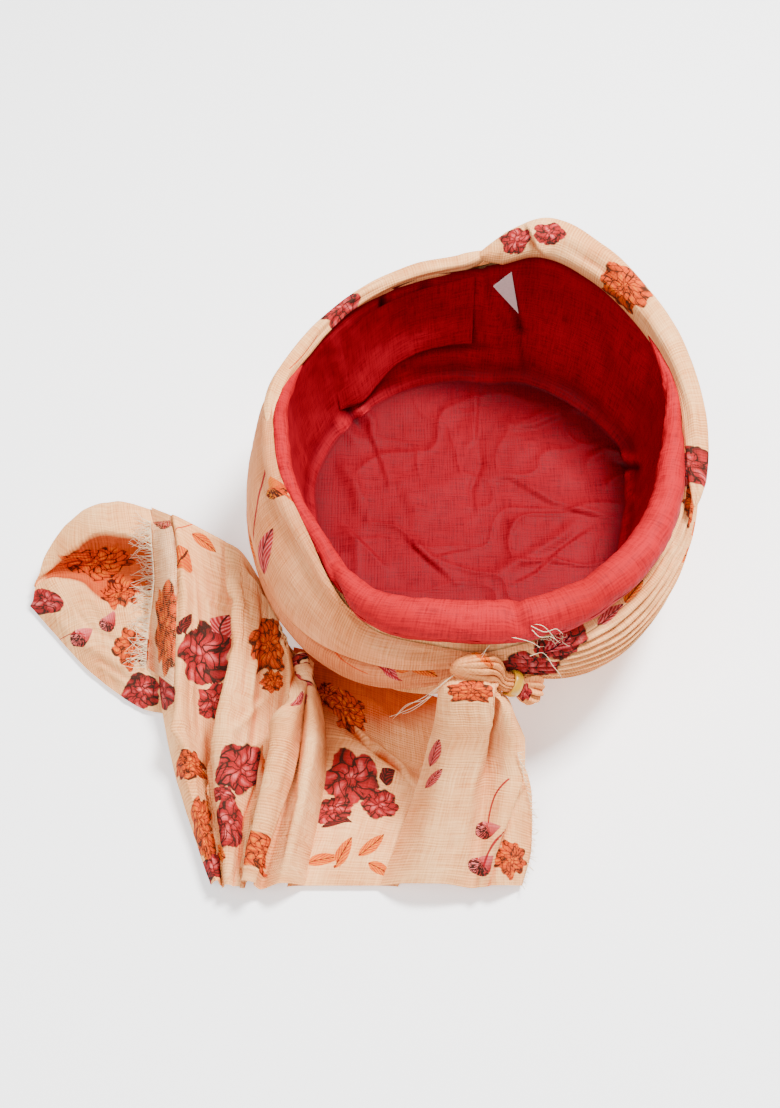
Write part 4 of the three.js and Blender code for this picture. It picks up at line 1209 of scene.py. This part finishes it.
def rubber_band():
    """A flat rubber loop round the knot's neck."""
    bpy.ops.mesh.primitive_torus_add(major_segments=96, minor_segments=24, major_radius=RUBBER["ring"] * MM,
                                     minor_radius=RUBBER["thin"] * MM)
    band = bpy.context.object
    band.name = "rubber_band_loop"
    bpy.ops.object.mode_set(mode="EDIT")
    bpy.ops.mesh.select_all(action="SELECT")
    bpy.ops.transform.resize(value=(1, 1, RUBBER["flat"]))
    bpy.ops.transform.rotate(value=math.pi / 2, orient_axis="Y", center_override=(0, 0, 0))
    bpy.ops.transform.translate(value=(RUBBER["at"] * MM, 0, 0))
    bpy.ops.transform.rotate(value=-KNOT_SLOPE, orient_axis="Y", center_override=(0, 0, 0))
    bpy.ops.transform.translate(value=[c * MM for c in KNOT_AT])
    bpy.ops.object.mode_set(mode="OBJECT")
    bpy.ops.object.shade_smooth()
    band.data.materials.append(RUBBER_SHINE)
    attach(band, "root")
    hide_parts("rubber_band")


# A thread's three sides, in its radius
THREAD_SECTION = ((1, 0), (-0.5, 0.87), (-0.5, -0.87))


def strands(name, lines, radius):
    """Bare threads: thin three-sided tubes along lines of points, finer towards their tips."""
    verts, faces = [], []
    for line in lines:
        line = spline(line, np.linspace(0, 1, 6 * len(line)))
        ahead = np.gradient(line, axis=0)
        ahead /= np.linalg.norm(ahead, axis=1, keepdims=True) + 1e-9
        side = np.cross(ahead, [0.13, 0.21, 0.97])
        side /= np.linalg.norm(side, axis=1, keepdims=True) + 1e-9
        other = np.cross(ahead, side)
        thin = radius * np.linspace(1, 0.45, len(line))[:, None]
        start = len(verts)
        ring = [line + thin * (a * side + b * other) for a, b in THREAD_SECTION]
        verts.extend(np.stack(ring, axis=1).reshape(-1, 3) * MM)
        for i in range(len(line) - 1):
            for k in range(3):
                a, b = start + 3 * i + k, start + 3 * i + (k + 1) % 3
                faces.append((a, b, b + 3, a + 3))
        last = start + 3 * (len(line) - 1)
        faces.extend([(start + 2, start + 1, start), (last, last + 1, last + 2)])
    mesh = bpy.data.meshes.new(name)
    mesh.from_pydata([tuple(v) for v in verts], [], faces)
    return made_object(name, mesh, THREAD)


def on_cloth(nets, line, lift):
    """Points over the cloth that is seen at each pixel of a line, lifted towards the camera."""
    spots = np.concatenate([net.reshape(-1, 3) for net in nets])
    pixels, depth = seen_at(spots)
    heights = []
    for spot in line:
        miss = np.linalg.norm(pixels - np.array(spot, float), axis=1)
        close = miss < miss.min() + 2.5
        heights.append(spots[close][np.argmin(depth[close]), 2])
    placed = from_photo([(*spot, height) for spot, height in zip(line, heights)])
    toward = CAMERA_AT - placed
    return placed + toward * (np.broadcast_to(lift, len(line)) / np.linalg.norm(toward, axis=1))[:, None]


def along_line(line, share):
    """Pixel at a share of a polyline's points."""
    return spline([(x, y, 0) for x, y in line], np.array([share]))[0, :2]


def raw_hem(nets):
    """Raw gauze hem between the fan's first fold and its frayed edge."""
    rows, columns = 70, 14
    down, across = shares(rows, columns)
    left = np.array([along_line(RAW_EDGE, share) for share in down[:, 0]])
    right = np.array([along_line(HEM_FOLD, share) for share in down[:, 0]])
    pixels = mix(left[:, None], right[:, None], across[..., None])
    lift = 1.0 + 1.6 * np.sin(np.pi * across) + 0.7 * ripple(down * 9, across * 2, 101)
    lift = lift * smooth(1.0, 0.8, across) + 0.2
    net = on_cloth(nets, pixels.reshape(-1, 2), lift.reshape(-1)).reshape(rows, columns, 3)
    net = blurred(net, 4)
    made = piece("raw_hem_cloth", net, GAUZE, "peach_cloth", motifs=PRINTS["hem"], deep=2.0)
    threads = fringe("hem_fringe", [net[::2, ::2], nets[1]], RAW_EDGE, 210, 25, 178, 3)


def fringe(name, nets, edge, count, reach, heading, seed):
    """Loose threads of a raw edge, each leaving it on its own heading, in pixels and degrees."""
    lines = []
    for k in range(count):
        chance = chances(k, seed)
        start = along_line(edge, (k + 0.5 + 0.4 * chance[0]) / count)
        length = reach * (0.62 + 0.38 * chance[1])
        turn = math.radians(heading + 34 * chance[2])
        bend = math.radians(48 * chance[3])
        middle = start + 0.5 * length * np.array([math.cos(turn), -math.sin(turn)])
        tip = middle + 0.5 * length * np.array([math.cos(turn + bend), -math.sin(turn + bend)])
        lines.append(on_cloth(nets, [start, middle, tip], np.array([0.5, 1.6, 1.6 + 1.4 * chance[4]])))
    return strands(name, lines, 0.2)


# Threads pulled out of the cloth round the knot, by pixel and height
KNOT_THREADS = [
    [(455, 674, 70), (438, 688, 66), (419, 704, 54), (400, 713, 40), (389, 717, 32)],
    [(457, 673, 71), (441, 685, 68), (424, 697, 60), (407, 706, 48), (396, 716, 36)],
    [(452, 676, 69), (436, 692, 62), (424, 700, 54), (408, 704, 47), (393, 719, 30)],
    [(459, 672, 71), (444, 682, 69), (428, 699, 58), (411, 711, 44), (402, 714, 38)],
    [(460, 674, 72), (472, 664, 77), (484, 652, 80), (490, 645, 83)],
    [(462, 676, 72), (470, 669, 76), (482, 657, 79), (487, 648, 82)],
    [(530, 656, 78), (543, 653, 76), (553, 666, 71), (560, 675, 66), (564, 684, 60)],
    [(510, 637, 88), (520, 639, 88), (533, 643, 87), (540, 648, 84)],
    [(531, 626, 92), (545, 632, 90), (556, 629, 90), (563, 634, 88)],
    [(532, 630, 91), (540, 637, 88), (551, 637, 87), (560, 643, 85)],
    [(533, 624, 92), (543, 626, 92), (556, 640, 86)],
]


def loose_threads(nets):
    """The long threads at the knot and a tangle of short ones over the pleats beside it."""
    lines = [from_photo(line) for line in KNOT_THREADS]
    for k in range(26):
        chance = chances(k, 77)
        start = np.array([549 + 15 * chance[0], 633 + 7 * chance[1]])
        middle = start + [6 * chance[2], 6 * chance[3]]
        tip = middle + [7 * chance[3], -7 * chance[4]]
        lines.append(on_cloth(nets, [start, middle, tip], np.array([0.6, 2.4, 1.8])))
    return strands("knot_threads", lines, 0.17)


# Prints: kind, pixel place, half sizes in pixels, angle in degrees and variant
PRINTS = {
    "left_band": (
        [("orange bud", (268, 487), (12, 9), 100, 2), ("red leaf", (262, 553), (24, 10), 80, 4),
         ("rose", (330, 322), (20, 14), 50, 1)],
        [("orange stem", (296, 520), (42, 30), -52, 5), ("red stem", (252, 500), (40, 20), 80, 2)]),
    "edge_roll": ([("rose", (343, 305), (24, 16), 35, 1)], [("orange stem", (305, 350), (22, 12), 50, 2)]),
    "left_lower": (
        [("orange leaf", (400, 662), (17, 9), 10, 3), ("orange leaf", (420, 672), (16, 8), -20, 4),
         ("red leaf", (388, 668), (15, 7), -50, 2)],
        [("red stem", (362, 640), (44, 20), -40, 4), ("orange stem", (350, 665), (36, 14), -30, 2)]),
    "front_roll": (
        [("rose", (514, 238), (18, 14), 30, 2), ("rose", (548, 230), (18, 13), 0, 5),
         ("marigold", (622, 287), (30, 26), -35, 1),
         ("rose", (689, 462), (22, 30), 80, 3)], []),
    "knot": ([("orange leaf", (488, 660), (16, 6), -30, 3)], []),
    "tuft": ([("rose", (521, 697), (9, 8), 0, 2)], []),
    "pleats": (
        [("rose", (562, 640), (32, 24), 20, 2), ("red leaf", (612, 612), (17, 8), 40, 3),
         ("rose", (692, 468), (20, 34), 80, 3), ("orange leaf", (636, 590), (15, 7), 50, 4)], []),
    "fan": (
        [("rose", (205, 655), (30, 36), 10, 1), ("rose", (214, 700), (18, 22), -20, 3),
         ("red leaf", (190, 625), (12, 9), 60, 6), ("red leaf", (226, 626), (13, 18), 80, 5),
         ("rose", (243, 768), (27, 29), -10, 2), ("rose", (232, 820), (19, 30), 10, 4),
         ("rose", (220, 790), (10, 16), 80, 5), ("marigold", (272, 646), (25, 31), 0, 1),
         ("marigold", (276, 680), (14, 13), 30, 4), ("marigold", (192, 762), (16, 22), 80, 3),
         ("marigold", (199, 818), (15, 28), 0, 2),
         ("orange leaf", (181, 551), (12, 20), 40, 2), ("orange leaf", (204, 541), (17, 9), -30, 4),
         ("marigold", (264, 850), (20, 26), 20, 2), ("rose", (150, 690), (18, 26), 60, 4),
         ("red leaf", (302, 697), (9, 4), 60, 3), ("rose", (212, 868), (20, 22), 20, 3)],
        [("orange stem", (190, 520), (30, 18), 20, 2)]),
    "sheet": (
        [("rose", (350, 776), (33, 30), 0, 3), ("rose", (332, 808), (24, 15), 20, 1),
         ("rose", (377, 802), (22, 17), -20, 2), ("red leaf", (391, 774), (9, 12), 60, 6),
         ("red leaf", (336, 822), (16, 7), 10, 7), ("marigold", (345, 706), (18, 30), 40, 2),
         ("marigold", (326, 692), (16, 14), 0, 4),
         ("orange leaf", (345, 850), (18, 9), 60, 3), ("orange leaf", (322, 858), (18, 8), 10, 4),
         ("orange leaf", (372, 842), (17, 8), 40, 2), ("orange leaf", (382, 868), (14, 8), -30, 4)], []),
    "near": (
        [("marigold", (472, 688), (28, 12), 0, 1), ("red leaf", (432, 752), (15, 8), 70, 3),
         ("red leaf", (430, 778), (13, 6), 50, 2), ("red bud", (486, 829), (13, 9), 20, 3),
         ("red bud", (480, 862), (14, 10), 40, 2), ("marigold", (514, 858), (18, 20), 0, 3)],
        [("red stem", (496, 806), (30, 24), 70, 5), ("red stem", (500, 845), (26, 20), 60, 4)]),
    "hem": ([("marigold", (162, 626), (17, 52), 0, 5), ("rose", (160, 520), (14, 9), 0, 2)], []),
    "end": (
        [("marigold", (97, 565), (44, 20), 0, 2), ("marigold", (120, 590), (22, 15), 20, 4),
         ("rose", (143, 688), (22, 20), 30, 1),
         ("marigold", (130, 646), (22, 22), 0, 3), ("red bud", (83, 633), (13, 9), 40, 3),
         ("red bud", (106, 620), (12, 8), 60, 2), ("rose", (43, 600), (14, 22), 80, 4)],
        [("red stem", (64, 640), (24, 12), 20, 4)]),
}


def label_tape():
    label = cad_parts["label"]
    label.data.materials.clear()
    label.data.materials.append(LABEL_TAPE)


def cap_and_lining():
    """Everything that is wound or laid on the cap; gives back the pleats for the threads on them."""
    peach = (MUSLIN, "peach_cloth")
    lining_bowl()
    lining_hem()
    roll("red_rim_roll", red_roll_at, (148, 398), (660, 49), (LIT_ROLL_COTTON, "red_lining"), red_roll_detail,
         ("rim_roll",))
    roll("front_roll_cloth", front_roll_at, (-15, 90), (300, 61), peach, peach_roll_detail, ("front_roll",),
         PRINTS["front_roll"], taper=7, lines=FRONT_ROLL_LINES)
    roll("edge_roll_cloth", edge_roll_at, (87, 172), (260, 37), peach, peach_roll_detail, ("edge_roll",),
         PRINTS["edge_roll"], taper=6)
    crown_wrap()
    # Painted shade: the two left bands are darker, as on the side away from the key lamp
    wrap("left_band_cloth", LEFT_BAND, (138, 268.5), (340, 80), band_detail(11), ("left_band",),
         PRINTS["left_band"], above=0.03, painted_shade=0.26)
    wrap("left_lower_cloth", LEFT_LOWER, (138, 268.5), (340, 80), band_detail(14), ("left_lower_band",),
         PRINTS["left_lower"], painted_shade=0.4)
    pleats = wrap("side_pleats", PLEAT_FAN, (-89.5, 146), (530, 150), pleat_detail,
                  ("pleat_1", "pleat_2", "pleat_3", "pleat_4"), PRINTS["pleats"])
    wrap("lowest_wrap", LOWEST_WRAP, (140, 262), (300, 60), band_detail(18), ())
    return pleats


def tail():
    fan = tail_fan(PRINTS["fan"])
    tail_near(PRINTS["near"])
    tail_sheet(PRINTS["sheet"])
    end = tail_end(PRINTS["end"])
    raw_hem([fan[::2, ::2], end[::3, ::3]])


pleat_net = cap_and_lining()
knot_gather(PRINTS["knot"])
knot_tuft(PRINTS["tuft"], loose_threads([pleat_net[::3, ::3]]))
rubber_band()
label_tape()
tail()


# Stage: lamps by place, size and power, in metres and watts
LAMPS = {"key": ((0.38, 0.3, 1.15), 0.3, 48), "fill": ((-0.5, -0.55, 1.0), 0.8, 12)}
LAMP_AIM = np.array([-0.03, -0.02, 0.05])
WHITE = (1, 1, 1, 1)
DAYLIGHT = (1, 0.985, 0.97, 1)


def stage():
    """A pale floor just below the turban, soft light from all round and two lamps."""
    bpy.ops.mesh.primitive_plane_add(size=6, location=(0, 0, -0.0006))
    floor = bpy.context.object
    floor.name = "floor"
    paint = Paint("pale floor")
    paint.set(Base_Color=WHITE, Roughness=0.9, Emission_Color=WHITE, Emission_Strength=0.6)
    floor.data.materials.append(paint.material)
    world = bpy.data.worlds.new("studio")
    world.use_nodes = True
    background = world.node_tree.nodes["Background"]
    background.inputs["Color"].default_value = DAYLIGHT
    background.inputs["Strength"].default_value = 0.5
    bpy.context.scene.world = world
    for name, (place, size, power) in LAMPS.items():
        data = bpy.data.lights.new(name, "AREA")
        data.size = size
        data.energy = power
        light = bpy.data.objects.new(name, data)
        light.location = place
        aim = LAMP_AIM - np.array(place)
        tilt = math.acos(-aim[2] / np.linalg.norm(aim))
        light.rotation_euler = (tilt, 0, math.atan2(aim[1], aim[0]) - math.pi / 2)
        bpy.context.scene.collection.objects.link(light)


stage()
